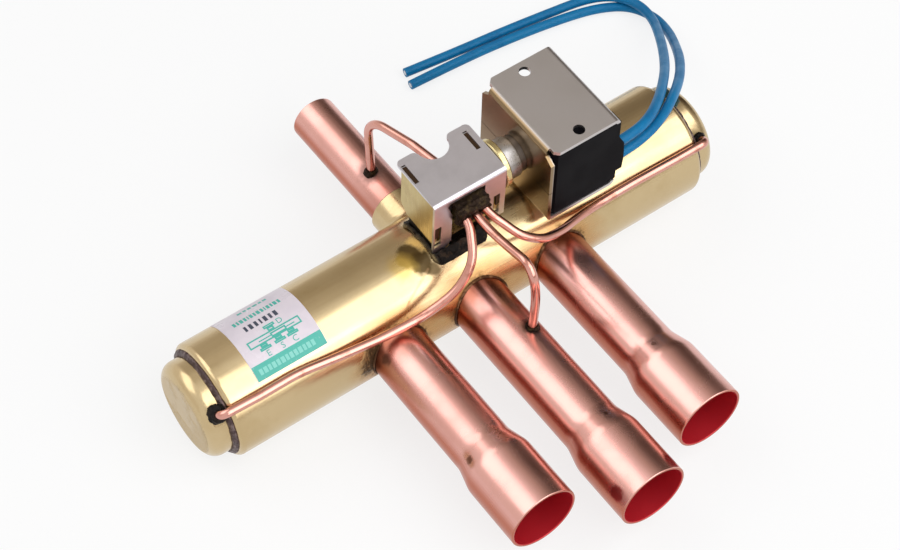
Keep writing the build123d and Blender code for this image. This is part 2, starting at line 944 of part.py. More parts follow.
def saddle_braze():
    """The braze round the foot of the saddle, on the curve of the body."""
    inner = side_left + saddle_inset_left
    left = inner - saddle_braze_left
    foot = sqrt(body_r**2 - saddle_braze_front**2)
    top = pilot_height - side_bottom - saddle_braze_drop
    ramp = saddle_half_width + saddle_braze_edge
    wedge = plate_yz(
        [
            (-saddle_braze_front, foot - saddle_braze_root),
            (-saddle_braze_front, foot + saddle_braze_edge),
            (-ramp, top),
            (ramp, top),
            (saddle_braze_front, foot + saddle_braze_edge),
            (saddle_braze_front, foot - saddle_braze_root),
        ],
        left,
        saddle_braze_right,
    )
    skirt = revolve(
        outline([(left, body_r), (inner, body_r), (inner, body_r + saddle_braze_rise)]), Axis.X
    )
    plan = RectangleRounded(saddle_braze_right - left, 2 * saddle_braze_front, saddle_braze_corner)
    plan = Pos((left + saddle_braze_right) / 2, 0, 0) * extrude(plan, pilot_height)
    leg = in_pilot * block(cover_left, opening_left + leg_gap, -cover_front - leg_gap,
                           -cover_front + cover_thickness + leg_gap, -leg_bottom_left - leg_gap, 0)
    return ((wedge + skirt) & plan) - pilot_saddle() - leg - body_skin()


def frame_profile(top, bottom, bend_at):
    """A channel's section in X and Z, with its bends at one end."""
    inner = bend_at - frame_thickness if bend_at > 0 else bend_at + frame_thickness
    open_end = bottom - past if bend_at > 0 else top + past
    points = [
        (frame_left, bottom),
        (frame_left, top),
        (frame_right, top),
        (frame_right, bottom),
    ]
    rounds = [((frame_left, bend_at), frame_bend), ((frame_right, bend_at), frame_bend)]
    shell = plate_xz(points, -frame_half_depth, frame_half_depth, rounds)
    room = [
        (frame_inner_left, min(inner, open_end)),
        (frame_inner_left, max(inner, open_end)),
        (frame_inner_right, max(inner, open_end)),
        (frame_inner_right, min(inner, open_end)),
    ]
    inside_bend = frame_bend - frame_thickness
    inner_rounds = [
        ((frame_inner_left, inner), inside_bend),
        ((frame_inner_right, inner), inside_bend),
    ]
    depth = frame_half_depth + past
    return shell - plate_xz(room, -depth, depth, inner_rounds)


def frame_cuts():
    """The sleeve's hole and the cut-back that leaves room for the moulding's front corner."""
    hole = rod_x(sleeve_r + bobbin_fit, frame_left - past, frame_middle)
    screw = rod_x(coil_screw_od / 2 + screw_fit, frame_middle, frame_right + past)
    depth = frame_half_depth
    cutback = block(frame_inner_right - frame_cutback_past, frame_right + past, -depth - past,
                    -depth + frame_cutback, -frame_half_height + frame_bend,
                    frame_half_height - frame_bend)
    return hole + screw + cutback


def coil_frame_upper():
    """The upper channel: a top plate with two holes and two side plates."""
    frame = frame_profile(frame_half_height, -frame_seam + frame_seam_gap / 2, frame_half_height)
    frame -= frame_cuts()
    for side in (-1, 1):
        edge = side * frame_half_depth
        inward = edge - side * frame_relief
        top_cut = extrude(
            outline([(frame_left, edge), (frame_left + frame_relief, edge), (frame_left, inward)]),
            3 * frame_thickness,
        )
        frame -= Pos(0, 0, frame_half_height - 2 * frame_thickness) * top_cut
        frame -= plate_yz(
            [
                (edge + side, frame_half_height + past),
                (edge + side, frame_half_height - frame_shoulder),
                (edge, frame_half_height - frame_shoulder),
                (inward, frame_half_height - frame_bend - frame_relief_step),
                (inward, frame_half_height + past),
            ],
            frame_left - past,
            frame_inner_left + frame_relief_past,
        )
        frame -= rod_z(frame_hole / 2, 0, frame_half_height + past, frame_middle,
                       side * frame_hole_spread)
    return in_coil * frame


def coil_frame_lower():
    """The lower channel: a bottom plate and two side plates that meet the upper ones."""
    frame = frame_profile(-frame_seam - frame_seam_gap / 2, -frame_half_height, -frame_half_height)
    return in_coil * (frame - frame_cuts())


def coil_bobbin():
    """The bobbin that the wire is wound on."""
    left = frame_inner_left + bobbin_end_gap
    right = frame_inner_right - bobbin_end_gap
    inner = sleeve_r + bobbin_fit
    bobbin = rod_x(inner + bobbin_wall, left, right)
    bobbin += rod_x(bobbin_flange_od / 2, left, left + bobbin_flange)
    bobbin += rod_x(bobbin_flange_od / 2, right - bobbin_flange, right)
    return in_coil * (bobbin - rod_x(inner, left - past, right + past))


def coil_winding():
    """The wound wire as one ring."""
    left = frame_inner_left + bobbin_end_gap + bobbin_flange
    right = frame_inner_right - bobbin_end_gap - bobbin_flange
    inner = sleeve_r + bobbin_fit + bobbin_wall
    ring = rod_x(winding_od / 2, left, right) - rod_x(inner, left - past, right + past)
    return in_coil * ring


def coil_moulding():
    """The moulding round the coil: round behind, square in front, with the leads' boss."""
    left = frame_inner_left + bobbin_end_gap
    right = frame_inner_right - bobbin_end_gap
    high = frame_half_height - frame_thickness - moulding_gap
    moulding = rod_x(high, left, right)
    moulding += block(left, right, -moulding_front, 0, -high, high)
    corners = [(left, -high), (left, high), (right, high), (right, -high)]
    rounds = [(corner, frame_bend) for corner in corners]
    moulding &= plate_xz(corners, -moulding_front, high, rounds)
    flange = frame_right + boss_flange_out
    boss = frame_right + boss_out
    rim = frame_half_height - frame_bend - moulding_gap
    corner = plate_xz(
        [
            (right - past, -rim),
            (flange, -rim),
            (flange, -boss_low),
            (boss - boss_low_bevel, -boss_low),
            (boss, -boss_low / 2),
            (boss - boss_high_bevel, boss_high),
            (flange, boss_high + boss_slope),
            (flange, rim),
            (right - past, rim),
        ],
        -moulding_front,
        -moulding_front + boss_depth,
    )
    moulding += corner
    moulding -= rod_x(bobbin_flange_od / 2, left - past, right)
    corner_cut = outline(
        [
            (left - past, -moulding_front - past),
            (left + moulding_chamfer + past, -moulding_front - past),
            (left - past, -moulding_front + moulding_chamfer + past),
        ]
    )
    moulding -= Pos(0, 0, -2 * high) * extrude(corner_cut, 4 * high)
    for x, y, z in lead_exits():
        moulding -= rod_x(lead_r, x, boss + past, y, z)
    return in_coil * moulding


def lead_exits():
    """Where the two leads leave the boss, in the pilot's own frame."""
    x = frame_right + boss_out - lead_inset
    y = -moulding_front + boss_depth / 2
    return [(x, y, lead_exit_high), (x, y, lead_exit_low)]


def coil_washer_ring():
    """The washer under the coil screw."""
    ring = rod_x(coil_washer_od / 2, frame_right, frame_right + coil_washer)
    hole = rod_x(coil_screw_od / 2 + screw_fit, frame_right - past, frame_right + 2 * past)
    return in_coil * (ring - hole)


def coil_screw():
    """The screw that holds the coil on the fixed core."""
    seat = frame_right + coil_washer
    end = frame_inner_right - bobbin_end_gap - coil_screw_depth
    screw = rod_x(coil_screw_od / 2, end + coil_screw_end_gap, seat)
    head = rod_x(coil_screw_head_od / 2, seat, seat + coil_screw_head)
    head = fillet(head.edges().sort_by(Axis.X)[-1], coil_screw_round)
    screw += head
    top = seat + coil_screw_head
    screw -= block(top - driver_slot_depth, top + past, -driver_slot / 2, driver_slot / 2,
                   -coil_screw_head_od, coil_screw_head_od)
    return in_coil * screw


def seat_point(x, out):
    """A point on the line of the pilot's ports, at a distance from the pilot axis."""
    angle = radians(seat_turn)
    return (x, out * cos(angle), pilot_height + out * sin(angle))


def on_body(x, elevation, stand_off):
    """A point beside the body: its angle above -Y in degrees and its height off the skin."""
    reach = body_r + stand_off
    angle = radians(elevation)
    return (x, -reach * cos(angle), reach * sin(angle))


def cap_route(side, start_x, free, elevation):
    """The route of a capillary from the pilot seat to the end cap on one side."""
    foot_x = side * (body_half + cap_tap_out)
    lead_out = -(pilot_seat_front + capillary_lead_out)
    points = [seat_point(start_x, -pilot_port_step), seat_point(start_x, lead_out)]
    for share, angle, stand_off in free:
        points.append(on_body(start_x + share * (foot_x - start_x), angle, stand_off))
    points.append(on_body(foot_x, elevation, capillary_r - cap_tap_sink))
    depth = cap_r - cap_tap_depth - body_r
    points.append(on_body(foot_x, elevation, depth))
    return points


def evaporator_side_route():
    """From the pilot seat down the flank of the body to the left cap."""
    free = [
        (0.050, 52.5, 14.0),
        (0.125, 41.0, 9.4),
        (0.246, 33.2, 5.0),
        (0.408, 32.8, 3.2),
        (0.565, 35.6, 1.7),
        (0.710, 40.8, 1.55),
        (0.860, 40.6, 1.55),
    ]
    return cap_route(-1, pilot_seat_x - capillary_pitch, free, left_tap_turn)


def condenser_side_route():
    """From the pilot seat under the coil's front edge to the right cap."""
    free = [
        (0.070, 51.5, 13.2),
        (0.145, 43.5, 12.2),
        (0.245, 39.5, 8.3),
        (0.360, 38.0, 3.6),
        (0.480, 37.2, 1.6),
        (0.660, 37.2, 1.55),
        (0.840, 36.2, 1.55),
    ]
    return cap_route(1, pilot_seat_x + capillary_pitch, free, right_tap_turn)


def suction_route():
    """From the pilot seat in an arch to the top of the suction tube."""
    foot = sqrt(tube_r**2 - suction_tap_x**2) - tap_depth
    return [
        seat_point(pilot_seat_x, -pilot_port_step),
        seat_point(pilot_seat_x, -(pilot_seat_front + capillary_lead_out)),
        (pilot_seat_x, -suction_arch_share * suction_tap_reach, pilot_height - suction_arch_drop),
        (pilot_seat_x, -suction_tap_reach - suction_crest_out, pilot_height + suction_crest_rise),
        (suction_tap_x, -suction_tap_reach, foot),
    ]


def discharge_route():
    """From the back of the sleeve to the top of the discharge stub."""
    foot = sqrt(discharge_r**2 - discharge_tap_x**2) - tap_depth
    return [
        seat_point(pilot_seat_x, sleeve_r - sleeve_wall),
        seat_point(pilot_seat_x, sleeve_r + capillary_lead_out),
        (
            pilot_seat_x - discharge_arch_left,
            discharge_arch_share * discharge_tap_reach,
            pilot_height + discharge_arch_rise,
        ),
        (
            discharge_tap_x,
            discharge_tap_reach + discharge_crest_out,
            pilot_height - discharge_crest_drop,
        ),
        (discharge_tap_x, discharge_tap_reach, foot),
    ]


def capillary(points, largest):
    """One capillary tube along its route."""
    return swept(points, bend_radii(points, largest), capillary_r, capillary_bore / 2)


def capillary_core(points, largest):
    """What one capillary fills, its bore included."""
    return swept(points, bend_radii(points, largest), capillary_r)


def tap_braze(foot, toward, wall):
    """The collar of braze where a capillary enters a wall, which is given filled in."""
    direction = (Vector(*toward) - Vector(*foot)).normalized()
    base = Plane(origin=Vector(*foot), z_dir=direction)
    height = tap_depth + 2 * tap_braze_height
    at_base = (Align.CENTER, Align.CENTER, Align.MIN)
    cone = Cone(capillary_r + tap_braze_width, capillary_r + tap_braze_rim, height, align=at_base)
    collar = base * cone - wall - base * Cylinder(capillary_r, 3 * height)
    return collar.solids().sort_by(SortBy.VOLUME)[-1]


def pilot_braze():
    """The lump of braze over the front of the pilot seat, round the three capillaries."""
    length = pilot_seat_length + 2 * lump_cover_x
    width = 2 * (pilot_seat_half_width + lump_cover_z)
    lump = extrude(RectangleRounded(length, width, lump_corner), lump_front + lump_back)
    lump = Pos(pilot_seat_x, lump_back - pilot_seat_front, 0) * Rot(90, 0, 0) * lump
    lump = fillet(lump.faces().sort_by(Axis.Y)[0].edges(), lump_round)
    return in_seat * (lump - pilot_seat_block())


def label():
    """The printed label, bent round the top of the body."""
    band = rod_x(body_r + label_thickness, -label_left, -label_left + label_width)
    band -= rod_x(body_r, -label_left - past, -label_left + label_width + past)
    reach = 2 * body_od
    low = radians(label_from)
    high = radians(label_to)
    middle = (low + high) / 2
    wedge = plate_yz(
        [
            (0, 0),
            (reach * cos(low), reach * sin(low)),
            (reach * cos(middle), reach * sin(middle)),
            (reach * cos(high), reach * sin(high)),
        ],
        -label_left - past,
        -label_left + label_width + past,
    )
    return band & wedge


def lead_start(index):
    """Where a lead leaves the boss, about the body axis."""
    x, y, z = lead_exits()[index]
    placed = in_coil * Pos(x, y, z)
    return tuple(placed.position)


table = -body_r + lead_r
lead_upper_points = [
    (63.0, -11.0, 30.9),
    (70.6, -5.6, 27.4),
    (78.6, 1.6, 22.6),
    (87.9, 11.3, 15.2),
    (97.8, 23.6, 5.6),
    (107.2, 36.6, -4.4),
    (113.6, 47.0, -10.9),
    (114.9, 55.2, -12.3),
    (111.6, 62.9, -12.8),
    (104.4, 68.7, -14.5),
    (91.8, 71.8, table),
    (75.0, 74.1, table),
    (57.0, 75.9, table),
    (39.9, 78.1, table),
]
lead_lower_points = [
    (63.6, -12.2, 26.9),
    (71.6, -8.4, 25.6),
    (80.2, -2.2, 22.2),
    (89.8, 6.6, 15.0),
    (99.6, 17.8, 5.6),
    (108.8, 30.2, -5.4),
    (115.2, 40.6, -12.6),
    (117.6, 50.2, -15.5),
    (114.2, 59.2, table),
    (105.6, 64.4, table),
    (94.0, 67.4, table),
    (77.5, 70.1, table),
    (58.5, 72.1, table),
    (38.4, 72.9, table),
]


def lead_wire(index, points):
    """One lead wire along its route, with its radii and length printed."""
    start = lead_start(index)
    straight = (start[0] + lead_inset + lead_straight, start[1], start[2])
    route = [start, straight] + points
    radii = bend_radii(route, lead_bend)
    wire = swept(route, radii, lead_r)
    path_length = wire.volume / (pi * lead_r**2)
    print("lead", index, "length", round(path_length, 1), "smallest radius", round(min(radii), 1))
    print("radii", [round(radius, 1) for radius in radii])
    print("turns", [round(turn_of(route, i), 1) for i in range(1, len(route) - 1)])
    return wire


def main():
    save("main_body", main_body())
    right_cap = end_cap()
    left_route = evaporator_side_route()
    right_route = condenser_side_route()
    suction_points = suction_route()
    left_tube = capillary(left_route, side_capillary_bend)
    right_tube = capillary(right_route, side_capillary_bend)
    suction_tube = capillary(suction_points, suction_capillary_bend)
    left_core = capillary_core(left_route, side_capillary_bend)
    right_core = capillary_core(right_route, side_capillary_bend)
    suction_core = capillary_core(suction_points, suction_capillary_bend)
    left_cap = Rot(0, 0, 180) * right_cap
    save("end_cap_left", left_cap - left_core)
    save("end_cap_right", right_cap - right_core)
    save("end_cap_braze_left", Rot(0, 0, 180) * cap_braze())
    save("end_cap_braze_right", cap_braze())
    save("capillary_evaporator_side", left_tube)
    save("capillary_condenser_side", right_tube)
    cap_fill = rod_x(cap_r, -cap_face, cap_face) + body_skin()
    cap_fill += cap_braze() + Rot(0, 0, 180) * cap_braze()
    save("capillary_braze_left", tap_braze(left_route[-1], left_route[-2], cap_fill))
    save("capillary_braze_right", tap_braze(right_route[-1], right_route[-2], cap_fill))
    save("capillary_suction", suction_tube)
    discharge_points = discharge_route()
    discharge_core = capillary_core(discharge_points, discharge_capillary_bend)
    save("capillary_discharge", capillary(discharge_points, discharge_capillary_bend))
    save("evaporator_tube", Pos(-port_pitch, 0, 0) * port_tube(evaporator_reach))
    save("suction_tube", port_tube(suction_reach) - suction_core)
    save("condenser_tube", Pos(port_pitch, 0, 0) * port_tube(condenser_reach))
    save("discharge_tube", discharge_tube() - discharge_core)
    suction_fill = rod_y(tube_r, -suction_reach, 0)
    discharge_fill = rod_y(discharge_r, 0, discharge_reach)
    save("capillary_braze_suction", tap_braze(suction_points[-1], suction_points[-2], suction_fill))
    save(
        "capillary_braze_discharge",
        tap_braze(discharge_points[-1], discharge_points[-2], discharge_fill),
    )
    line = port_braze()
    save("evaporator_braze", Pos(-port_pitch, 0, 0) * line)
    save("suction_braze", line)
    save("condenser_braze", Pos(port_pitch, 0, 0) * line)
    save("discharge_braze", discharge_braze())
    save("valve_seat", valve_seat())
    save("main_slide", main_slide())
    save("slide_carrier", slide_carrier())
    names = ("piston", "piston_seal", "piston_plate", "piston_screw")
    for name, piece in zip(names, piston_stack()):
        save(f"{name}_right", Pos(shuttle_rest, 0, 0) * piece)
        save(f"{name}_left", Pos(shuttle_rest, 0, 0) * Rot(0, 0, 180) * piece)
    save("pilot_saddle", pilot_saddle())
    save("saddle_braze", saddle_braze())
    save("pilot_bracket", pilot_bracket())
    save("pilot_cover", pilot_cover())
    save("pilot_sleeve", pilot_sleeve())
    save("pilot_end_plug", pilot_end_plug())
    save("pilot_seat", pilot_seat())
    save("pilot_braze", pilot_braze() - left_core - right_core - suction_core)
    save("pilot_slide", pilot_slide())
    save("pilot_slide_spring", pilot_slide_spring())
    save("plunger", plunger())
    save("pilot_spring", pilot_spring())
    save("fixed_core", fixed_core())
    save("pilot_disc", pilot_disc())
    save("sleeve_collar", sleeve_collar())
    save("coil_frame_upper", coil_frame_upper())
    save("coil_frame_lower", coil_frame_lower())
    save("coil_bobbin", coil_bobbin())
    save("coil_winding", coil_winding())
    save("coil_moulding", coil_moulding())
    save("coil_washer", coil_washer_ring())
    save("coil_screw", coil_screw())
    save("label", label())
    save("lead_wire_upper", lead_wire(0, lead_upper_points))
    save("lead_wire_lower", lead_wire(1, lead_lower_points))


main()
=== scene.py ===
from math import cos, pi, radians, sin

import bmesh
import bpy
from mathutils import Matrix, Vector, noise


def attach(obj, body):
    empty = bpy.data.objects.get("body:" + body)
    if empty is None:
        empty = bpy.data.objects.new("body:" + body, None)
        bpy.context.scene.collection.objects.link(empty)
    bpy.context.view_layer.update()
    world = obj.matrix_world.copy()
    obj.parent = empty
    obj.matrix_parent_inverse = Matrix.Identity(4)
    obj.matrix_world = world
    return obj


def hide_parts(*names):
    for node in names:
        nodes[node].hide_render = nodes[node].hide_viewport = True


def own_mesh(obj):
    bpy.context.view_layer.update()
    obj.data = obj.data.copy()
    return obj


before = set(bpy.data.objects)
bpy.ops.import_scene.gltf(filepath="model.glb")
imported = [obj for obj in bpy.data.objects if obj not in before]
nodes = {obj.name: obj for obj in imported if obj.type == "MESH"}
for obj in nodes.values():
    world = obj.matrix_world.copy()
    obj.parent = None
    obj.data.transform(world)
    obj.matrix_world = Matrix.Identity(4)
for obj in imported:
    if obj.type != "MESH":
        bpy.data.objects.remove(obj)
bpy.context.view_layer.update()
BODY = "valve"

# The sizes below are the part's own, in millimetres, about the crossing of the
# body's axis and the suction tube's axis
BODY_R = 17.45
LABEL_THICKNESS = 0.12
ROW_SHIFT = Vector((0.0, 13.55, BODY_R))
PORT_X = {"evaporator_tube": -27.7, "suction_tube": 0.0, "condenser_tube": 27.7}


def at(x, y, z):
    """A point of the part's sizes, in metres in the scene."""
    return (Vector((x, y, z)) + ROW_SHIFT) / 1000


def srgb(red, green, blue):
    """A colour as it looks on a screen, 0 to 255, as linear values."""
    def linear(value):
        share = value / 255
        return share / 12.92 if share <= 0.04045 else ((share + 0.055) / 1.055) ** 2.4
    return (linear(red), linear(green), linear(blue), 1.0)


# Camera: what it looks at and how far from it, in metres, its angles in degrees,
# and its lens and sensor in millimetres
CAMERA_TARGET = Vector((-1.075, 9.754, 17.124)) / 1000
CAMERA_DISTANCE = 0.66338
CAMERA_AZIMUTH = -34.722
CAMERA_ELEVATION = 53.379
CAMERA_ROLL = -1.019
CAMERA_LENS = 93.38
CAMERA_SENSOR = 36


def place_camera():
    """The camera at the photograph's viewing angle."""
    azimuth = radians(CAMERA_AZIMUTH)
    elevation = radians(CAMERA_ELEVATION)
    roll = radians(CAMERA_ROLL)
    back = Vector(
        (
            sin(azimuth) * cos(elevation),
            -cos(azimuth) * cos(elevation),
            sin(elevation),
        )
    )
    right = (-back).cross(Vector((0, 0, 1))).normalized()
    up = right.cross(-back)
    rolled_right = cos(roll) * right + sin(roll) * up
    rolled_up = -sin(roll) * right + cos(roll) * up
    turn = Matrix((rolled_right, rolled_up, back)).transposed().to_4x4()
    data = bpy.data.cameras.new("camera")
    data.sensor_width = CAMERA_SENSOR
    data.lens = CAMERA_LENS
    camera = bpy.data.objects.new("camera", data)
    place = CAMERA_TARGET + back * CAMERA_DISTANCE
    camera.matrix_world = Matrix.Translation(place) @ turn
    bpy.context.scene.collection.objects.link(camera)
    bpy.context.scene.camera = camera


# Materials
class Surface:
    """A node material that is built up in layers over one base."""

    def __init__(self, name, colour, metallic, roughness):
        self.material = bpy.data.materials.new(name)
        self.material.use_nodes = True
        self.tree = self.material.node_tree
        self.shader = self.tree.nodes["Principled BSDF"]
        self.shader.inputs["Metallic"].default_value = metallic
        self.shader.inputs["Roughness"].default_value = roughness
        self.shader.inputs["Base Color"].default_value = colour
        self.colour = colour
        self.roughness = roughness
        self.normal = None
        self.point = self.add("ShaderNodeTexCoord").outputs["Object"]

    def add(self, kind, **settings):
        """A new node of the material."""
        node = self.tree.nodes.new(kind)
        for key, value in settings.items():
            setattr(node, key, value)
        return node

    def put(self, socket, value):
        """Links a node's output to a socket, or sets the socket to a constant."""
        if hasattr(value, "is_linked"):
            self.tree.links.new(value, socket)
        else:
            socket.default_value = value

    def math(self, operation, first, second=0.0, clamp=False):
        """The result of one operation on numbers."""
        node = self.add("ShaderNodeMath", operation=operation, use_clamp=clamp)
        self.put(node.inputs[0], first)
        self.put(node.inputs[1], second)
        return node.outputs[0]

    def vector(self, operation, first, second=(0, 0, 0), output="Vector"):
        """The result of one operation on vectors."""
        node = self.add("ShaderNodeVectorMath", operation=operation)
        self.put(node.inputs[0], first)
        self.put(node.inputs[1], second)
        return node.outputs[output]

    def axis(self, index, source=None):
        """One coordinate of the surface's point, or of another vector."""
        node = self.add("ShaderNodeSeparateXYZ")
        self.put(node.inputs[0], source or self.point)
        return node.outputs[index]

    def stretch(self, scale):
        """The surface's point, scaled along each axis."""
        node = self.add("ShaderNodeMapping")
        self.put(node.inputs["Vector"], self.point)
        node.inputs["Scale"].default_value = scale
        return node.outputs[0]

    def noise(self, scale, detail=2.0, rough=0.5, stretch=None):
        """Smooth noise, 0 to 1, at the surface's point."""
        node = self.add("ShaderNodeTexNoise")
        self.put(node.inputs["Vector"], self.stretch(stretch) if stretch else self.point)
        node.inputs["Scale"].default_value = scale
        node.inputs["Detail"].default_value = detail
        node.inputs["Roughness"].default_value = rough
        return node.outputs["Fac"]

    def rise(self, value, low, high, start=0.0, end=1.0):
        """Goes smoothly from start, at low, to end, at high."""
        node = self.add("ShaderNodeMapRange", interpolation_type="SMOOTHSTEP")
        self.put(node.inputs["Value"], value)
        node.inputs["From Min"].default_value = low
        node.inputs["From Max"].default_value = high
        node.inputs["To Min"].default_value = start
        node.inputs["To Max"].default_value = end
        return node.outputs[0]

    def mix(self, share, first, second):
        """A colour between two colours."""
        node = self.add("ShaderNodeMix", data_type="RGBA")
        self.put(node.inputs["Factor"], share)
        self.put(node.inputs[6], first)
        self.put(node.inputs[7], second)
        return node.outputs[2]

    def blend(self, share, first, second):
        """A number between two numbers."""
        node = self.add("ShaderNodeMix", data_type="FLOAT")
        self.put(node.inputs["Factor"], share)
        self.put(node.inputs[2], first)
        self.put(node.inputs[3], second)
        return node.outputs[0]

    def within(self, reach, radius, blur, wobble, scale):
        """1 where a distance is within the radius, 0 beyond the blur, with an uneven edge."""
        swing = self.math("SUBTRACT", self.noise(scale, 3.0), 0.5)
        reach = self.math("ADD", reach, self.math("MULTIPLY", swing, wobble))
        return self.rise(reach, radius, radius + blur, 1.0, 0.0)

    def near(self, place, radius, blur, wobble, scale=400.0):
        """1 round a point, 0 further away."""
        reach = self.vector("DISTANCE", self.point, tuple(place), output="Value")
        return self.within(reach, radius, blur, wobble, scale)

    def along(self, start, end, radius, blur, wobble, scale=500.0):
        """1 on the line between two points, 0 further away."""
        run = end - start
        offset = self.vector("SUBTRACT", self.point, tuple(start))
        share = self.vector("DOT_PRODUCT", offset, tuple(run / run.length_squared), "Value")
        share = self.math("ADD", share, 0.0, clamp=True)
        scaled = self.add("ShaderNodeVectorMath", operation="SCALE")
        scaled.inputs[0].default_value = tuple(run)
        self.put(scaled.inputs["Scale"], share)
        reach = self.vector("DISTANCE", offset, scaled.outputs[0], output="Value")
        return self.within(reach, radius, blur, wobble, scale)

    def tint(self, share, colour, roughness=None):
        """Lays a colour, and a roughness where one is given, over what is there."""
        self.colour = self.mix(share, self.colour, colour)
        if roughness is not None:
            self.roughness = self.blend(share, self.roughness, roughness)

    def share(self, mask, amount):
        """A mask made weaker by an amount or by another mask."""
        return self.math("MULTIPLY", mask, amount)

    def bump(self, height, distance, strength=1.0):
        """Adds relief to the relief that is there."""
        node = self.add("ShaderNodeBump")
        node.inputs["Distance"].default_value = distance
        node.inputs["Strength"].default_value = strength
        self.put(node.inputs["Height"], height)
        if self.normal is not None:
            self.put(node.inputs["Normal"], self.normal)
        self.normal = node.outputs[0]

    def outward(self, middle):
        """Above 0 where the surface faces away from an axis along Y, below 0 in the bore."""
        x, _, z = middle
        from_axis = self.vector("SUBTRACT", self.point, (x, 0.0, z))
        flat = self.vector("MULTIPLY", from_axis, (1.0, 0.0, 1.0))
        normal = self.add("ShaderNodeNewGeometry").outputs["True Normal"]
        return self.vector("DOT_PRODUCT", normal, self.vector("NORMALIZE", flat), "Value")

    def done(self):
        """The finished material."""
        if hasattr(self.colour, "is_linked"):
            self.put(self.shader.inputs["Base Color"], self.colour)
        if hasattr(self.roughness, "is_linked"):
            self.put(self.shader.inputs["Roughness"], self.roughness)
        if self.normal is not None:
            self.put(self.shader.inputs["Normal"], self.normal)
        return self.material


BRASS = (0.59, 0.455, 0.26, 1.0)
BRASS_DEEP = (0.48, 0.345, 0.165, 1.0)
BRASS_STAIN = (0.07, 0.045, 0.018, 1.0)
BRASS_HEATED = (0.50, 0.25, 0.08, 1.0)
COPPER = (0.75, 0.405, 0.355, 1.0)
COPPER_DEEP = (0.57, 0.25, 0.20, 1.0)
COPPER_HEATED = (0.36, 0.10, 0.045, 1.0)
# Darker red painted on the lower half of each tube as shade
COPPER_UNDERSIDE_SHADE = (0.44, 0.115, 0.055, 1.0)
COPPER_DULL = (0.55, 0.23, 0.16, 1.0)
COPPER_BORE = srgb(196, 36, 48)
SOOT = (0.018, 0.016, 0.016, 1.0)
SCORCH = (0.10, 0.06, 0.05, 1.0)
EVEN = (1.0, 1.0, 1.0)
ALONG_X = (0.03, 1.0, 1.0)
ALONG_Y = (1.0, 0.03, 1.0)
SHEET_GRAIN = (0.04, 1.0, 1.0)


def brass(name, grain=ALONG_X):
    """Drawn and polished brass: fine lines along the draw, faint clouds and a slight wave."""
    surface = Surface(name, BRASS, 1.0, 0.2)
    lines = surface.noise(1500.0, 3.0, 0.6, stretch=grain)
    clouds = surface.noise(70.0, 4.0, 0.6)
    surface.roughness = surface.rise(lines, 0.3, 0.7, 0.17, 0.27)
    surface.tint(surface.rise(clouds, 0.45, 0.75, 0.0, 0.45), BRASS_DEEP)
    surface.bump(lines, 0.000012)
    surface.bump(surface.noise(45.0, 1.0), 0.0005, 0.5)
    return surface


# Marks on the body by the saddle. Stains: place, radius and blur in millimetres, and
# strength. Lines of dried flux: start, end and strength
SADDLE_STAINS = (
    ((-14.0, -2.6, 17.2), 3.0, 1.6, 0.95),
    ((-12.0, -6.0, 16.4), 2.6, 1.4, 0.95),
    ((-10.0, -8.6, 15.2), 1.5, 1.6, 0.85),
    ((16.0, -7.0, 16.0), 1.5, 5.0, 0.35),
)
FLUX_HALO = (-17.6, -4.4, 16.9)
FLUX_OCHRE = (0.62, 0.42, 0.10, 1.0)
FLUX_LINES = (
    ((-11.5, -8.2, 15.4), (-20.9, -12.4, 12.3), 0.35),
    ((-20.9, -12.4, 12.3), (-24.1, -14.5, 9.7), 0.7),
)
FLUX_LINE = (0.28, 0.17, 0.09, 1.0)

# The crust on the body beside the evaporator tube's root
CRUST_LINE = ((-35.4, -16.1, 6.8), (-38.0, -17.4, 0.9))
CRUST_HALO = (0.24, 0.14, 0.06, 1.0)
CRUST = (0.045, 0.026, 0.014, 1.0)


def saddle_marks(surface):
    """Flux stains, their ochre edge and two dried runs, in front of the saddle."""
    for place, radius, blur, amount in SADDLE_STAINS:
        mask = surface.near(at(*place), radius / 1000, blur / 1000, 0.003, 350.0)
        surface.tint(surface.share(mask, amount), BRASS_STAIN, 0.45)
    ochre = surface.near(at(*FLUX_HALO), 0.0018, 0.004, 0.003)
    surface.tint(surface.share(ochre, 0.6), FLUX_OCHRE)
    for start, end, amount in FLUX_LINES:
        mask = surface.along(at(*start), at(*end), 0.0001, 0.0005, 0.0004)
        surface.tint(surface.share(mask, amount), FLUX_LINE, 0.35)


def port_heat(surface, x, fine):
    """A warm zone on the body round one port, and a dark speckled one close to the tube."""
    offset = surface.vector("SUBTRACT", surface.point, tuple(at(x, 0, 0)))
    flat = surface.vector("MULTIPLY", offset, (1.0, 0.0, 1.0))
    radial = surface.vector("LENGTH", flat, output="Value")
    wander = surface.math("MULTIPLY", surface.noise(220.0, 4.0), 0.005)
    reach = surface.math("ADD", radial, wander)
    front = surface.rise(surface.axis(1), at(0, -9, 0).y, at(0, -14, 0).y)
    warm = surface.share(surface.rise(reach, 0.0115, 0.0215, 1.0, 0.0), front)
    surface.tint(surface.share(warm, 0.75), BRASS_HEATED, 0.30)
    dark = surface.share(surface.rise(reach, 0.0110, 0.0135, 1.0, 0.0), front)
    speckle = surface.rise(fine, 0.4, 0.6)
    surface.tint(surface.share(surface.share(dark, speckle), 0.8), BRASS_STAIN, 0.6)


def root_crust(surface, fine):
    """Dark, streaked flux with a brown edge."""
    start, end = (at(*place) for place in CRUST_LINE)
    halo = surface.along(start, end, 0.0012, 0.0042, 0.004, 400.0)
    surface.tint(surface.share(halo, 0.7), CRUST_HALO, 0.35)
    line = surface.along(start, end, 0.0010, 0.0026, 0.0045, 700.0)
    grit = surface.noise(1100.0, 3.0, 0.7, stretch=(1.0, 0.35, 0.35))
    crust = surface.share(surface.share(line, surface.rise(grit, 0.28, 0.50)), 0.85)
    surface.tint(crust, CRUST, 0.45)
    surface.bump(surface.share(crust, fine), 0.0006)


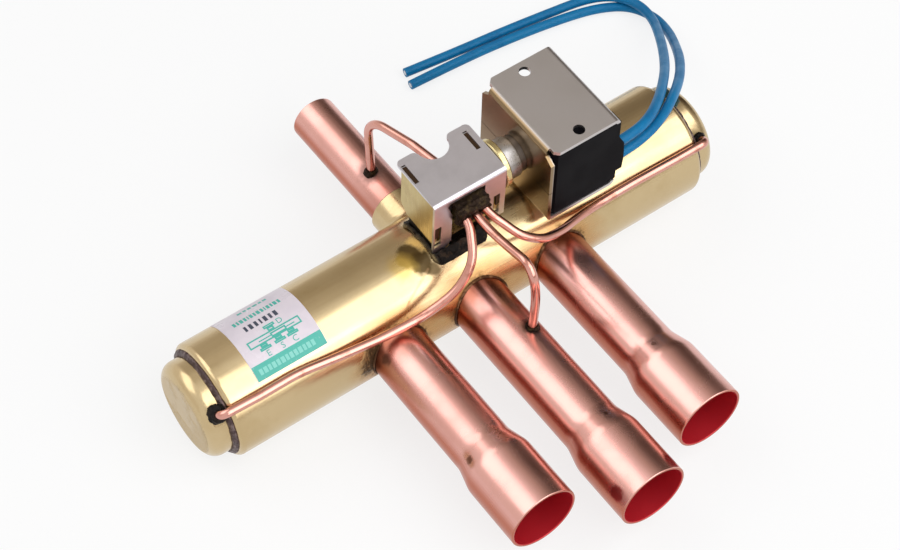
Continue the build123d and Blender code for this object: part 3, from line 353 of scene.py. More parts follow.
def body_brass():
    """The body's brass, with the flux stains of the saddle and the heat round each port."""
    surface = brass("brass_body")
    fine = surface.noise(900.0, 5.0, 0.7)
    saddle_marks(surface)
    for x in PORT_X.values():
        port_heat(surface, x, fine)
    root_crust(surface, fine)
    return surface.done()


# Stains where a capillary enters each cap, with their strength
CAP_STAINS = (((-82.0, -12.6, 11.6), 0.9), ((82.0, -12.6, 11.6), 0.8))


def cap_brass():
    """The cap's brass, with a pressed, finely pitted face."""
    surface = brass("brass_cap", EVEN)
    facing = surface.axis(0, surface.add("ShaderNodeNewGeometry").outputs["True Normal"])
    face = surface.rise(surface.math("ABSOLUTE", facing), 0.9, 0.99)
    pits = surface.noise(2300.0, 3.0, 0.7)
    patch = surface.rise(surface.noise(120.0, 2.0), 0.40, 0.55)
    surface.bump(surface.share(surface.share(pits, face), patch), 0.0006)
    surface.tint(surface.share(face, 0.55), BRASS_DEEP, 0.36)
    for place, amount in CAP_STAINS:
        foot = surface.near(at(*place), 0.002, 0.0035, 0.003)
        surface.tint(surface.share(foot, amount), BRASS_STAIN, 0.5)
    return surface.done()


def copper(name, grain=ALONG_Y, rough=(0.23, 0.31)):
    """Drawn copper tube: pinkish, with faint lines, clouds of oxide and fine specks."""
    surface = Surface(name, COPPER, 1.0, 0.25)
    lines = surface.noise(1500.0, 3.0, 0.6, stretch=grain)
    clouds = surface.noise(55.0, 4.0, 0.6)
    specks = surface.noise(1900.0, 2.0, 0.6)
    surface.roughness = surface.rise(clouds, 0.35, 0.7, *rough)
    surface.tint(surface.rise(clouds, 0.45, 0.8, 0.0, 0.4), COPPER_DEEP)
    surface.tint(surface.rise(specks, 0.72, 0.80, 0.0, 0.35), COPPER_HEATED, 0.5)
    surface.bump(lines, 0.000010)
    surface.bump(surface.noise(60.0, 1.0), 0.0004, 0.5)
    return surface


def painted_underside_shade(surface):
    """Painted shade: a darker red over the lower half of a tube, for the dark reflections along
    its lower edge.
    """
    normal = surface.add("ShaderNodeNewGeometry").outputs["True Normal"]
    low = surface.rise(surface.axis(2, normal), 0.6, 0.2)
    surface.tint(surface.share(low, 0.85), COPPER_UNDERSIDE_SHADE)


# Marks on the port tubes: place, radius and blur in millimetres, strength and colour
FLARE_SPOT = (0.16, 0.07, 0.05, 1.0)
RED_PATCH = srgb(150, 22, 26)
DARK_PATCH = (0.12, 0.06, 0.06, 1.0)
TUBE_MARKS = {
    "evaporator_tube": (
        ((-34.8, -60.7, 5.7), 0.6, 1.2, 0.9, FLARE_SPOT),
        ((-23.9, -60.7, 8.2), 0.2, 1.0, 0.6, COPPER_HEATED),
        ((-34.5, -20.5, 5.5), 0.8, 1.8, 0.7, SOOT),
    ),
    "suction_tube": (
        ((1.75, -71.5, 9.0), 0.3, 0.7, 0.85, FLARE_SPOT),
        ((-9.4, -90.8, 4.5), 1.7, 1.0, 0.8, RED_PATCH),
        ((8.8, -91.2, 5.6), 1.0, 1.4, 0.6, RED_PATCH),
        ((3.2, -36.6, 8.2), 1.9, 2.0, 0.8, SCORCH),
    ),
    "condenser_tube": (
        ((26.2, -61.4, 9.1), 0.3, 0.8, 0.8, FLARE_SPOT),
        ((29.2, -27.0, 7.8), 0.7, 2.8, 0.4, DARK_PATCH),
    ),
}


def port_copper(node):
    """A port tube: heat colours by the body, dark marks by its flare and a deep red bore."""
    surface = copper("copper_" + node)
    # Painted shade on the tube's lower half
    painted_underside_shade(surface)
    drift = surface.math("MULTIPLY", surface.noise(200.0, 3.0), 0.006)
    depth = surface.math("ADD", surface.axis(1), drift)
    warm = surface.rise(depth, at(0, -BODY_R - 7, 0).y, at(0, -BODY_R + 5, 0).y)
    surface.tint(surface.share(warm, 0.85), COPPER_HEATED, 0.28)
    for place, radius, blur, amount, colour in TUBE_MARKS[node]:
        mask = surface.near(at(*place), radius / 1000, blur / 1000, 0.0015, 900.0)
        surface.tint(surface.share(mask, amount), colour, 0.3)
    inside = surface.rise(surface.outward(at(PORT_X[node], 0, 0)), -0.2, -0.5)
    surface.tint(inside, COPPER_BORE, 0.42)
    surface.put(surface.shader.inputs["Metallic"], surface.blend(inside, 1.0, 0.35))
    return surface.done()


def stub_copper():
    """The discharge stub: warm by its collar, scorched at the capillary, with a red bore."""
    surface = copper("copper_stub")
    # Painted shade on the stub's lower half
    painted_underside_shade(surface)
    warm = surface.rise(surface.axis(1), at(0, 40, 0).y, at(0, 24, 0).y)
    surface.tint(surface.share(warm, 0.4), COPPER_HEATED, 0.36)
    foot = surface.near(at(-0.9, 35.6, 7.0), 0.002, 0.0035, 0.003)
    surface.tint(surface.share(foot, 0.7), SCORCH, 0.5)
    inside = surface.rise(surface.outward(at(0, 0, 0)), -0.2, -0.5)
    surface.tint(inside, COPPER_BORE, 0.42)
    return surface.done()


def capillary_copper():
    """The thin tubes: brighter drawn, darker in tone, with heated patches."""
    surface = copper("copper_capillary", EVEN, (0.15, 0.22))
    surface.tint(0.45, COPPER_DULL)
    patches = surface.rise(surface.noise(240.0, 3.0), 0.55, 0.75, 0.0, 0.5)
    surface.tint(patches, COPPER_HEATED)
    return surface.done()


def braze(name, dark, pale, share, metallic, brown_end=False):
    """Braze with burnt flux on it: a dark skin, with the metal showing through in patches."""
    surface = Surface(name, dark, metallic, 0.45)
    surface.shader.inputs["Specular IOR Level"].default_value = 0.15
    coarse = surface.noise(520.0, 4.0, 0.65)
    fine = surface.noise(2600.0, 3.0, 0.6)
    surface.tint(surface.rise(coarse, 0.48, 0.66, 0.0, share), pale)
    surface.roughness = surface.rise(fine, 0.35, 0.65, 0.30, 0.55)
    # On the saddle's braze: olive brown at the lit outer end, over a dark skin that paints the
    # shade under the cover
    if brown_end:
        lit_end_brown(surface)
    surface.bump(coarse, 0.0005)
    surface.bump(fine, 0.00008)
    return surface.done()


# Tones of the sheet parts
BRACKET = (0.54, 0.42, 0.175, 1.0)
BRACKET_DEEP = (0.40, 0.28, 0.10, 1.0)
BRACKET_BURNT = (0.06, 0.035, 0.02, 1.0)
# The saddle's near-black is painted shade under the cover; its lit outer end is olive brown
SADDLE_SHADE_BLACK = (0.010, 0.008, 0.006, 1.0)
OLIVE_DARK = (0.22, 0.13, 0.06, 1.0)
OLIVE_PALE = (0.55, 0.42, 0.20, 1.0)
FRAME = (0.57, 0.54, 0.535, 1.0)
FRAME_DEEP = (0.49, 0.46, 0.455, 1.0)
FRAME_END_TONE = (0.23, 0.145, 0.055, 1.0)


def steel(name, colour, rough=(0.26, 0.36), grain=SHEET_GRAIN, depth=0.000008):
    """Rolled steel sheet: fine grain one way, faint clouds and handling marks."""
    surface = Surface(name, colour, 1.0, rough[0])
    lines = surface.noise(1700.0, 3.0, 0.6, stretch=grain)
    clouds = surface.noise(90.0, 4.0, 0.6)
    marks = surface.noise(260.0, 5.0, 0.7)
    surface.roughness = surface.rise(lines, 0.3, 0.7, *rough)
    darker = tuple(0.78 * value for value in colour[:3]) + (1.0,)
    surface.tint(surface.rise(clouds, 0.4, 0.75, 0.0, 0.5), darker)
    surface.tint(surface.rise(marks, 0.62, 0.74, 0.0, 0.3), darker)
    surface.bump(lines, depth)
    return surface.done()


def bracket_steel():
    """The bracket's brass-coloured sheet, browned by heat on the tabs in the cover's slots."""
    surface = Surface("steel_bracket", BRACKET, 1.0, 0.3)
    clouds = surface.noise(110.0, 4.0, 0.6)
    lines = surface.noise(1700.0, 3.0, 0.6, stretch=(1.0, 1.0, 0.04))
    surface.roughness = surface.rise(lines, 0.3, 0.7, 0.26, 0.36)
    surface.tint(surface.rise(clouds, 0.4, 0.7, 0.0, 0.6), BRACKET_DEEP)
    front = surface.rise(surface.axis(1), at(0, -5.6, 0).y, at(0, -6.0, 0).y)
    top = surface.rise(surface.axis(2), at(0, 0, 38.2).z, at(0, 0, 38.4).z)
    surface.tint(surface.math("MAXIMUM", front, top), BRACKET_BURNT, 0.5)
    surface.bump(lines, 0.000008)
    return surface.done()


def saddle_steel():
    """The saddle's sheet: black in front as painted shade under the cover, and mottled olive
    brown at its lit outer end.
    """
    surface = Surface("steel_saddle", SADDLE_SHADE_BLACK, 1.0, 0.5)
    lit_end_brown(surface)
    return surface.done()


def lit_end_brown(surface):
    """Lays the mottled olive brown of the saddle's lit outer end over a dark surface that
    paints the shade under the cover.
    """
    mottle = surface.noise(330.0, 4.0, 0.65)
    end = surface.rise(surface.axis(0), at(-7.5, 0, 0).x, at(-10.0, 0, 0).x)
    brown = surface.mix(surface.rise(mottle, 0.38, 0.62), OLIVE_DARK, OLIVE_PALE)
    surface.tint(surface.share(end, 0.9), brown, 0.4)


def frame_steel():
    """The coil frame's satin sheet, with a darker gold-brown tone on the face by the pilot
    valve.
    """
    surface = Surface("steel_frame", FRAME, 1.0, 0.3)
    clouds = surface.noise(60.0, 3.0, 0.55)
    lines = surface.noise(1900.0, 2.0, 0.6, stretch=(0.12, 1.0, 1.0))
    surface.roughness = surface.rise(clouds, 0.3, 0.7, 0.33, 0.38)
    surface.tint(surface.rise(clouds, 0.4, 0.75, 0.0, 0.5), FRAME_DEEP)
    end = surface.rise(surface.axis(0), at(25.9, 0, 0).x, at(24.9, 0, 0).x)
    surface.tint(surface.share(end, 0.92), FRAME_END_TONE, 0.2)
    surface.bump(lines, 0.000002)
    return surface.done()


def plastic(name, colour, rough=(0.35, 0.5), grain=1800.0, depth=0.00003):
    """Moulded plastic with a fine skin."""
    surface = Surface(name, colour, 0.0, rough[0])
    skin = surface.noise(grain, 3.0, 0.6)
    clouds = surface.noise(120.0, 3.0, 0.5)
    surface.roughness = surface.rise(clouds, 0.35, 0.65, *rough)
    darker = tuple(0.82 * value for value in colour[:3]) + (1.0,)
    surface.tint(surface.rise(clouds, 0.4, 0.7, 0.0, 0.6), darker)
    surface.bump(skin, depth)
    return surface


def lead_blue():
    """Glossy blue wire insulation with faint print rubs and dust."""
    surface = Surface("lead_blue", srgb(0, 114, 166), 0.0, 0.4)
    clouds = surface.noise(160.0, 3.0, 0.5)
    surface.tint(surface.rise(clouds, 0.4, 0.7, 0.0, 0.5), srgb(0, 95, 147))
    surface.roughness = surface.rise(clouds, 0.3, 0.7, 0.36, 0.48)
    surface.bump(surface.noise(500.0, 2.0), 0.00006)
    surface.shader.inputs["Specular IOR Level"].default_value = 0.22
    return surface.done()


def label_film():
    """Pale pinkish film, a little uneven under its print."""
    surface = Surface("label_film", srgb(228, 218, 226), 0.0, 0.32)
    clouds = surface.noise(180.0, 3.0, 0.5)
    surface.tint(surface.rise(clouds, 0.35, 0.7, 0.0, 0.6), srgb(214, 204, 214))
    surface.roughness = surface.rise(clouds, 0.35, 0.65, 0.26, 0.40)
    surface.bump(surface.noise(90.0, 2.0), 0.00012)
    return surface.done()


def label_ink(name, colour):
    """Screen-printed ink that is slightly worn."""
    surface = Surface(name, colour, 0.0, 0.4)
    wear = surface.noise(1400.0, 4.0, 0.7)
    surface.tint(surface.rise(wear, 0.60, 0.74, 0.0, 0.5), srgb(214, 220, 228))
    surface.bump(wear, 0.00001)
    return surface.done()


WINDING = (0.55, 0.22, 0.10, 1.0)
WINDING_DEEP = (0.40, 0.14, 0.07, 1.0)
WIRE_PITCH = 0.0004


def wound_copper():
    """Enamelled wire in close turns along the coil."""
    surface = Surface("winding_copper", WINDING, 0.9, 0.3)
    turns = surface.math("SINE", surface.math("MULTIPLY", surface.axis(0), 2 * pi / WIRE_PITCH))
    clouds = surface.noise(300.0, 2.0)
    surface.tint(surface.rise(clouds, 0.4, 0.7, 0.0, 0.5), WINDING_DEEP)
    surface.bump(turns, 0.00012)
    return surface.done()


# Plain metals: name, colour, range of roughness, grain and the pieces they are on
PLAIN_METALS = (
    ("steel_collar", (0.42, 0.40, 0.39, 1.0), (0.26, 0.36), EVEN, ("sleeve_collar",)),
    # The sleeve's dark steel is painted shade, for the shade it lies in between the collar and
    # the coil frame
    (
        "steel_sleeve_in_shade", (0.20, 0.18, 0.17, 1.0), (0.28, 0.40), EVEN,
        ("pilot_sleeve", "fixed_core", "plunger", "pilot_end_plug"),
    ),
    ("brass_disc", (0.62, 0.51, 0.26, 1.0), (0.20, 0.3), EVEN, ("pilot_disc",)),
    (
        "brass_seat", (0.80, 0.64, 0.32, 1.0), (0.25, 0.4), SHEET_GRAIN,
        ("valve_seat", "piston_left", "piston_right"),
    ),
    (
        "steel_bright", (0.62, 0.62, 0.62, 1.0), (0.22, 0.34), SHEET_GRAIN,
        (
            "slide_carrier", "piston_plate_left", "piston_plate_right",
            "piston_screw_left", "piston_screw_right", "pilot_slide_spring",
            "pilot_spring", "coil_washer", "coil_screw",
        ),
    ),
)
COVER = (0.66, 0.64, 0.69, 1.0)
TIN = (0.62, 0.64, 0.68, 1.0)

# Plain plastics: name, colour and the pieces they are on
PLAIN_PLASTICS = (
    ("plastic_slide", (0.74, 0.71, 0.60, 1.0), ("main_slide", "pilot_slide")),
    ("plastic_seal", (0.62, 0.60, 0.54, 1.0), ("piston_seal_left", "piston_seal_right")),
    ("plastic_bobbin", (0.55, 0.51, 0.44, 1.0), ("coil_bobbin",)),
)
MOULDING = (0.003, 0.0026, 0.0038, 1.0)

# Brazes: name, dark and pale tone, share of the pale tone, share of metal, brown end
BRAZES = {
    "burnt": ("braze_burnt", (0.010, 0.008, 0.007, 1.0), (0.035, 0.024, 0.018, 1.0), 0.6, 0.3),
    "ring": ("braze_ring", (0.085, 0.057, 0.057, 1.0), (0.28, 0.21, 0.20, 1.0), 0.7, 0.85),
    "lump": ("braze_lump", (0.022, 0.012, 0.007, 1.0), (0.085, 0.055, 0.022, 1.0), 0.55, 0.5),
    "line": ("braze_line", (0.080, 0.034, 0.014, 1.0), (0.30, 0.15, 0.07, 1.0), 0.7, 0.6),
    # The saddle's braze: near-black as painted shade under the cover, olive brown at its lit
    # end
    "foot": (
        "braze_saddle", (0.008, 0.006, 0.005, 1.0), (0.06, 0.035, 0.02, 1.0), 0.5, 0.4, True,
    ),
}


def dress(material, *names):
    """Gives CAD nodes their material."""
    for name in names:
        for material_slot in nodes[name].material_slots:
            material_slot.material = material


def dress_tubes():
    """The body, its caps and all copper tubes."""
    dress(body_brass(), "main_body")
    dress(cap_brass(), "end_cap_left", "end_cap_right")
    for node in TUBE_MARKS:
        dress(port_copper(node), node)
    dress(stub_copper(), "discharge_tube")
    thin = capillary_copper()
    dress(thin, "capillary_evaporator_side", "capillary_condenser_side", "capillary_discharge")
    suction_capillary(thin)


def dress_brazes():
    """The braze in the stub's collar, the pilot seat and the lumpy skins."""
    looks = {look: braze(*tones) for look, tones in BRAZES.items()}
    dress(looks["burnt"], "discharge_braze")
    dress(looks["lump"], "pilot_seat")
    braze_skins(looks)


def dress_pilot_and_coil():
    """The sheet, the turned parts, the plastics, the winding and the label's film."""
    dress(steel("steel_cover", COVER, (0.30, 0.33), (0.2, 1.0, 1.0), 0.000002), "pilot_cover")
    dress(bracket_steel(), "pilot_bracket")
    dress(frame_steel(), "coil_frame_upper", "coil_frame_lower")
    dress(saddle_steel(), "pilot_saddle")
    for name, colour, rough, grain, names in PLAIN_METALS:
        dress(steel(name, colour, rough, grain), *names)
    for name, colour, names in PLAIN_PLASTICS:
        dress(plastic(name, colour).done(), *names)
    dress(wound_copper(), "coil_winding")
    moulding = plastic("plastic_moulding", MOULDING, (0.42, 0.50), 1500.0)
    moulding.shader.inputs["Specular IOR Level"].default_value = 0.03
    dress(moulding.done(), "coil_moulding")
    dress(label_film(), "label")


def rough_skin(node, voxel, depth, size, grow):
    """A lumpy skin of braze in place of a plain ring or block, grown or drawn in a little."""
    piece = bpy.data.objects.new(node + "_skin", nodes[node].data.copy())
    bpy.context.scene.collection.objects.link(piece)
    remesh = piece.modifiers.new("even", "REMESH")
    remesh.mode = "VOXEL"
    remesh.voxel_size = voxel / 1000
    graph = bpy.context.evaluated_depsgraph_get()
    data = bpy.data.meshes.new_from_object(piece.evaluated_get(graph))
    piece.modifiers.clear()
    piece.data = data
    mesh = bmesh.new()
    mesh.from_mesh(data)
    mesh.normal_update()
    for vertex in mesh.verts:
        place = vertex.co * (1000 / size)
        swell = (
            noise.noise(place)
            + 0.5 * noise.noise(2.3 * place)
            + 0.25 * noise.noise(5.1 * place)
        )
        vertex.co += vertex.normal * ((swell * depth + grow) / 1000)
    mesh.to_mesh(data)
    mesh.free()
    data.materials.clear()
    data.shade_smooth()
    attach(piece, BODY)
    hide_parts(node)
    return piece


def return_spring():
    """The return spring between the plunger and the fixed core, on a mesh of its own."""
    piece = bpy.data.objects.new("return_spring", nodes["pilot_spring"].data.copy())
    bpy.context.scene.collection.objects.link(piece)
    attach(piece, BODY)
    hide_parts("pilot_spring")
    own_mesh(piece)


# The skins of braze: the node, its look, and in millimetres the mesh's size, the depth
# and size of the lumps, and how far the skin grows
BRAZE_SKINS = (
    ("end_cap_braze_left", "ring", 0.24, 0.13, 2.6, 0.25),
    ("end_cap_braze_right", "ring", 0.24, 0.13, 2.6, 0.25),
    ("saddle_braze", "foot", 0.25, 0.35, 2.4, -0.15),
    ("evaporator_braze", "line", 0.14, 0.09, 2.4, -0.17),
    ("suction_braze", "line", 0.14, 0.09, 2.4, -0.17),
    ("condenser_braze", "line", 0.14, 0.09, 2.4, -0.17),
    ("pilot_braze", "lump", 0.2, 0.55, 2.4, -0.5),
    ("capillary_braze_left", "burnt", 0.18, 0.45, 1.6, 0.85),
    ("capillary_braze_right", "burnt", 0.16, 0.26, 1.1, 0.1),
    ("capillary_braze_suction", "lump", 0.16, 0.20, 1.1, -0.2),
    ("capillary_braze_discharge", "lump", 0.16, 0.20, 1.1, -0.25),
)


def braze_skins(looks):
    """Every skin of braze, each with its look."""
    for node, look, voxel, depth, size, grow in BRAZE_SKINS:
        rough_skin(node, voxel, depth, size, grow).data.materials.append(looks[look])


# The label's print. Places on it are millimetres along the body from its outer
# end, and degrees round the body's axis from the +Y side over the top.
LABEL_START = -69.3
LABEL_WIDTH = 22.3
LABEL_FRONT = 130.5
DEGREES_PER_MM = 180 / (pi * (BODY_R + LABEL_THICKNESS))
LINE_WIDTH = 0.42
DEGREES_PER_STEP = 3

# The foot and the top of the print, in millimetres above the film
ON_FILM = (-0.04, 0.05)
ON_BAND = (0.02, 0.09)


def on_label(along, angle, lift):
    """A point over the label's film, in metres in the scene."""
    radius = BODY_R + LABEL_THICKNESS + lift
    turn = radians(angle)
    return at(LABEL_START + along, radius * cos(turn), radius * sin(turn))


def print_bar(mesh, left, right, rear, front, lifts=ON_FILM):
    """A closed bar of print that follows the label's curve."""
    root, top = lifts
    count = max(1, round((front - rear) / DEGREES_PER_STEP))
    rings = []
    for step in range(count + 1):
        angle = rear + (front - rear) * step / count
        corners = ((left, root), (left, top), (right, top), (right, root))
        rings.append([mesh.verts.new(on_label(along, angle, lift)) for along, lift in corners])
    for ring, following in zip(rings, rings[1:]):
        for side in range(4):
            after = (side + 1) % 4
            mesh.faces.new((ring[side], ring[after], following[after], following[side]))
    mesh.faces.new(reversed(rings[0]))
    mesh.faces.new(rings[-1])


def print_outline(mesh, left, right, rear, front):
    """A rectangle drawn with four bars."""
    turn = LINE_WIDTH * DEGREES_PER_MM
    print_bar(mesh, left, right, rear, rear + turn)
    print_bar(mesh, left, right, front - turn, front)
    print_bar(mesh, left, left + LINE_WIDTH, rear + turn, front - turn)
    print_bar(mesh, right - LINE_WIDTH, right, rear + turn, front - turn)


def print_marks(mesh, left, right, rear, front, widths, gap, lifts=ON_FILM):
    """A line of plain marks where the real label has words."""
    place = left
    index = 0
    while place + widths[index % len(widths)] <= right:
        width = widths[index % len(widths)]
        print_bar(mesh, place, place + width, rear, front, lifts)
        place += width + gap
        index += 1


def print_letter(mesh, text, along, angle, size):
    """One port letter, bent round the label."""
    root, top = ON_FILM
    data = bpy.data.curves.new("letter", "FONT")
    data.body = text
    data.size = size
    data.align_x = "CENTER"
    data.align_y = "CENTER"
    data.extrude = 0.5
    helper = bpy.data.objects.new("letter", data)
    flat = bpy.data.meshes.new_from_object(helper)
    first = len(mesh.verts)
    mesh.from_mesh(flat)
    mesh.verts.ensure_lookup_table()
    for vertex in mesh.verts[first:]:
        x, y, z = vertex.co
        lift = top if z > 0 else root
        vertex.co = on_label(along + x, angle - y * DEGREES_PER_MM, lift)
    bpy.data.objects.remove(helper)
    bpy.data.curves.remove(data)
    bpy.data.meshes.remove(flat)


def add_mesh(name, mesh, material, smooth=False):
    """A new piece on the valve's body, from a finished mesh."""
    bmesh.ops.recalc_face_normals(mesh, faces=mesh.faces)
    data = bpy.data.meshes.new(name)
    mesh.to_mesh(data)
    mesh.free()
    data.materials.append(material)
    if smooth:
        data.shade_smooth()
    piece = bpy.data.objects.new(name, data)
    bpy.context.scene.collection.objects.link(piece)
    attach(piece, BODY)
    return piece


# The flow diagram. Boxes and bars: left, right, rear, front. Each port has a neck and a
# wider mouth under its middle
DIAGRAM_BODY = (2.8, 19.3, 94.3, 102.2)
DIAGRAM_PORTS = (6.7, 11.3, 15.3)
PORT_NECK = (1.05, 102.2, 105.2)
PORT_MOUTH = (1.7, 105.2, 108.2)
DIAGRAM_BOXES = (
    (10.0, 12.0, 90.6, 94.3),
    (9.3, 12.7, 87.3, 90.6),
    (9.9, 14.7, 96.4, 101.0),
)
SHUTTLE_RODS = ((6.0, 9.9, 98.2, 99.2), (14.7, 17.4, 98.2, 99.2))
LETTERS = (("E", 6.7, 112.3), ("S", 11.2, 112.3), ("C", 15.2, 112.3), ("D", 14.3, 89.8))
LETTER_SIZE = 2.5
BAND_REAR = 116.2
BAND_SIDE_MARGIN = 0.15
BAND_FRONT_MARGIN = 0.4

# Marks that stand for lines of words: left, right, rear, front, their widths and the gap
MARKS_NAME = (3.4, 18.7, 65.5, 71.0, (0.8, 0.55, 0.9, 0.7, 0.35), 0.42)
MARKS_TOP = (7.0, 16.6, 52.0, 55.5, (1.4, 0.9, 1.1), 0.5)
MARKS_NUMBER = (5.0, 16.8, 77.0, 83.5, (0.75, 1.0, 0.85, 0.5, 1.0), 0.75)
MARKS_BAND = (1.6, 20.6, 120.5, 126.0, (1.0, 1.15, 0.9, 1.1), 0.35)


def label_print():
    """The flow diagram with its port letters, a coloured band and plain marks for words."""
    teal = label_ink("ink_teal", srgb(70, 180, 165))
    dark = label_ink("ink_dark", srgb(60, 66, 84))
    pale = label_ink("ink_pale", srgb(128, 208, 196))
    lines = bmesh.new()
    print_outline(lines, *DIAGRAM_BODY)
    for middle in DIAGRAM_PORTS:
        for half, rear, front in (PORT_NECK, PORT_MOUTH):
            print_outline(lines, middle - half, middle + half, rear, front)
    for box in DIAGRAM_BOXES:
        print_outline(lines, *box)
    for rod in SHUTTLE_RODS:
        print_bar(lines, *rod)
    print_marks(lines, *MARKS_NAME)
    print_marks(lines, *MARKS_TOP)
    for text, along, angle in LETTERS:
        print_letter(lines, text, along, angle, LETTER_SIZE)
    add_mesh("label_lines", lines, teal)
    band = bmesh.new()
    band_right = LABEL_WIDTH - BAND_SIDE_MARGIN
    print_bar(band, BAND_SIDE_MARGIN, band_right, BAND_REAR, LABEL_FRONT - BAND_FRONT_MARGIN)
    add_mesh("label_band", band, teal)
    number = bmesh.new()
    print_marks(number, *MARKS_NUMBER)
    add_mesh("label_number", number, dark)
    words = bmesh.new()
    print_marks(words, *MARKS_BAND, ON_BAND)
    add_mesh("label_words", words, pale)


# The two leads: each one's start and route, which are the part's own, in millimetres,
# and its length in metres
LEAD_D = 3.0
LEAD_REST = -BODY_R + LEAD_D / 2
LEAD_STRAIGHT = 7.0
LEAD_ROUTES = {
    "lead_wire_upper": (
        (48.7, -13.496, 32.112),
        (
            (63.0, -11.0, 30.9),
            (70.6, -5.6, 27.4),
            (78.6, 1.6, 22.6),
            (87.9, 11.3, 15.2),
            (97.8, 23.6, 5.6),
            (107.2, 36.6, -4.4),
            (113.6, 47.0, -10.9),
            (114.9, 55.2, -12.3),
            (111.6, 62.9, -12.8),
            (104.4, 68.7, -14.5),
            (91.8, 71.8, LEAD_REST),
            (75.0, 74.1, LEAD_REST),
            (57.0, 75.9, LEAD_REST),
            (39.9, 78.1, LEAD_REST),
        ),
        0.1938,
    ),
    "lead_wire_lower": (
        (48.7, -13.225, 25.918),
        (
            (63.6, -12.2, 26.9),
            (71.6, -8.4, 25.6),
            (80.2, -2.2, 22.2),
            (89.8, 6.6, 15.0),
            (99.6, 17.8, 5.6),
            (108.8, 30.2, -5.4),
            (115.2, 40.6, -12.6),
            (117.6, 50.2, -15.5),
            (114.2, 59.2, LEAD_REST),
            (105.6, 64.4, LEAD_REST),
            (94.0, 67.4, LEAD_REST),
            (77.5, 70.1, LEAD_REST),
            (58.5, 72.1, LEAD_REST),
            (38.4, 72.9, LEAD_REST),
        ),
        0.1976,
    ),
}


def smooth_tube(name, route, diameter):
    """A round tube on one smooth line with the route's points as its control points."""
    data = bpy.data.curves.new(name, "CURVE")
    data.dimensions = "3D"
    data.bevel_depth = 1.0
    data.bevel_resolution = 6
    data.resolution_u = 12
    data.use_fill_caps = True
    spline = data.splines.new("NURBS")
    spline.points.add(len(route) - 1)
    for control, place in zip(spline.points, route):
        control.co = (*place, 1.0)
        control.radius = diameter / 2000
    spline.order_u = 3
    spline.use_endpoint_u = True
    return data


def lead(node, start, points):
    """One lead wire on a single smooth line."""
    straight = (start[0] + LEAD_STRAIGHT, start[1], start[2])
    route = [at(*point) for point in (start, straight) + points]
    data = smooth_tube(node + "_skin", route, LEAD_D)
    piece = bpy.data.objects.new(node + "_skin", data)
    bpy.context.scene.collection.objects.link(piece)
    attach(piece, BODY)
    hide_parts(node)
    return piece


# The suction tube's capillary, on a smooth line near the part's own route
SUCTION_ROUTE = (
    (3.7, -4.891, 31.461),
    (3.7, -11.347, 30.089),
    (3.7, -20.496, 30.201),
    (3.7, -40.3, 35.6),
    (3.2, -36.6, 7.39),
)
CAPILLARY_D = 2.6


def suction_capillary(material):
    """The suction tube's capillary, in place of the part's own, which bends more sharply."""
    route = [at(*place) for place in SUCTION_ROUTE]
    data = smooth_tube("capillary_suction_skin", route, CAPILLARY_D)
    data.materials.append(material)
    piece = bpy.data.objects.new("capillary_suction_skin", data)
    bpy.context.scene.collection.objects.link(piece)
    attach(piece, BODY)
    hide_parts("capillary_suction")


# Floor, backdrop and light. The cards glow less towards the dark side
DARK_SIDE = (0.80, 0.49, 0.345)
CARD_TONES = (
    (0.5, (0.90, 0.87, 0.83, 1.0)),
    (0.8, (0.46, 0.41, 0.35, 1.0)),
    (1.0, (0.06, 0.04, 0.03, 1.0)),
)
LOW_CARD = (0.30, 0.22, 0.15, 1.0)
WHITE = (1.0, 1.0, 1.0, 1.0)
FLOOR = (0.92, 0.92, 0.92, 1.0)
FLOOR_SIZE = 8.0
FLOOR_DROP = 0.0002
FLOOR_GLOW = 0.78
GLOW_FROM, GLOW_FULL = 0.25, 1.0
AMBIENT = 0.4
UPRIGHT = radians(90)

# Cards: name, width and height, place and turn. Lamps: name, width and depth, radiance, place
FLAGS = (
    ("flag_back", 3.6, 1.7, (0.5, 1.5, 0.86), (UPRIGHT, 0, 0)),
    ("flag_right", 3.6, 1.7, (1.6, 0.3, 0.86), (UPRIGHT, 0, -UPRIGHT)),
    ("flag_front", 3.5, 0.32, (0.8, -2.2, 0.17), (UPRIGHT, 0, 0)),
    ("flag_left", 2.4, 0.9, (-1.6, 0.8, 0.46), (UPRIGHT, 0, UPRIGHT)),
)
HIGH_FLAG = Vector((0.54, 0.66, 0.84))
LAMPS = (
    ("light_top", 1.0, 0.8, 1.9, (0.26, -0.50, 0.86)),
    ("light_front", 1.5, 0.9, 1.6, (0.25, -1.25, 0.6)),
    ("light_left", 1.1, 0.7, 1.25, (-0.46, 0.53, 0.85)),
)


def empty_material(name):
    """A material without nodes but its output, as itself, its nodes' tree and the output."""
    material = bpy.data.materials.new(name)
    material.use_nodes = True
    tree = material.node_tree
    tree.nodes.clear()
    return material, tree, tree.nodes.new("ShaderNodeOutputMaterial")


def tree_math(tree, kind, operation):
    """A new node that does one operation on numbers or on vectors."""
    node = tree.nodes.new(kind)
    node.operation = operation
    return node


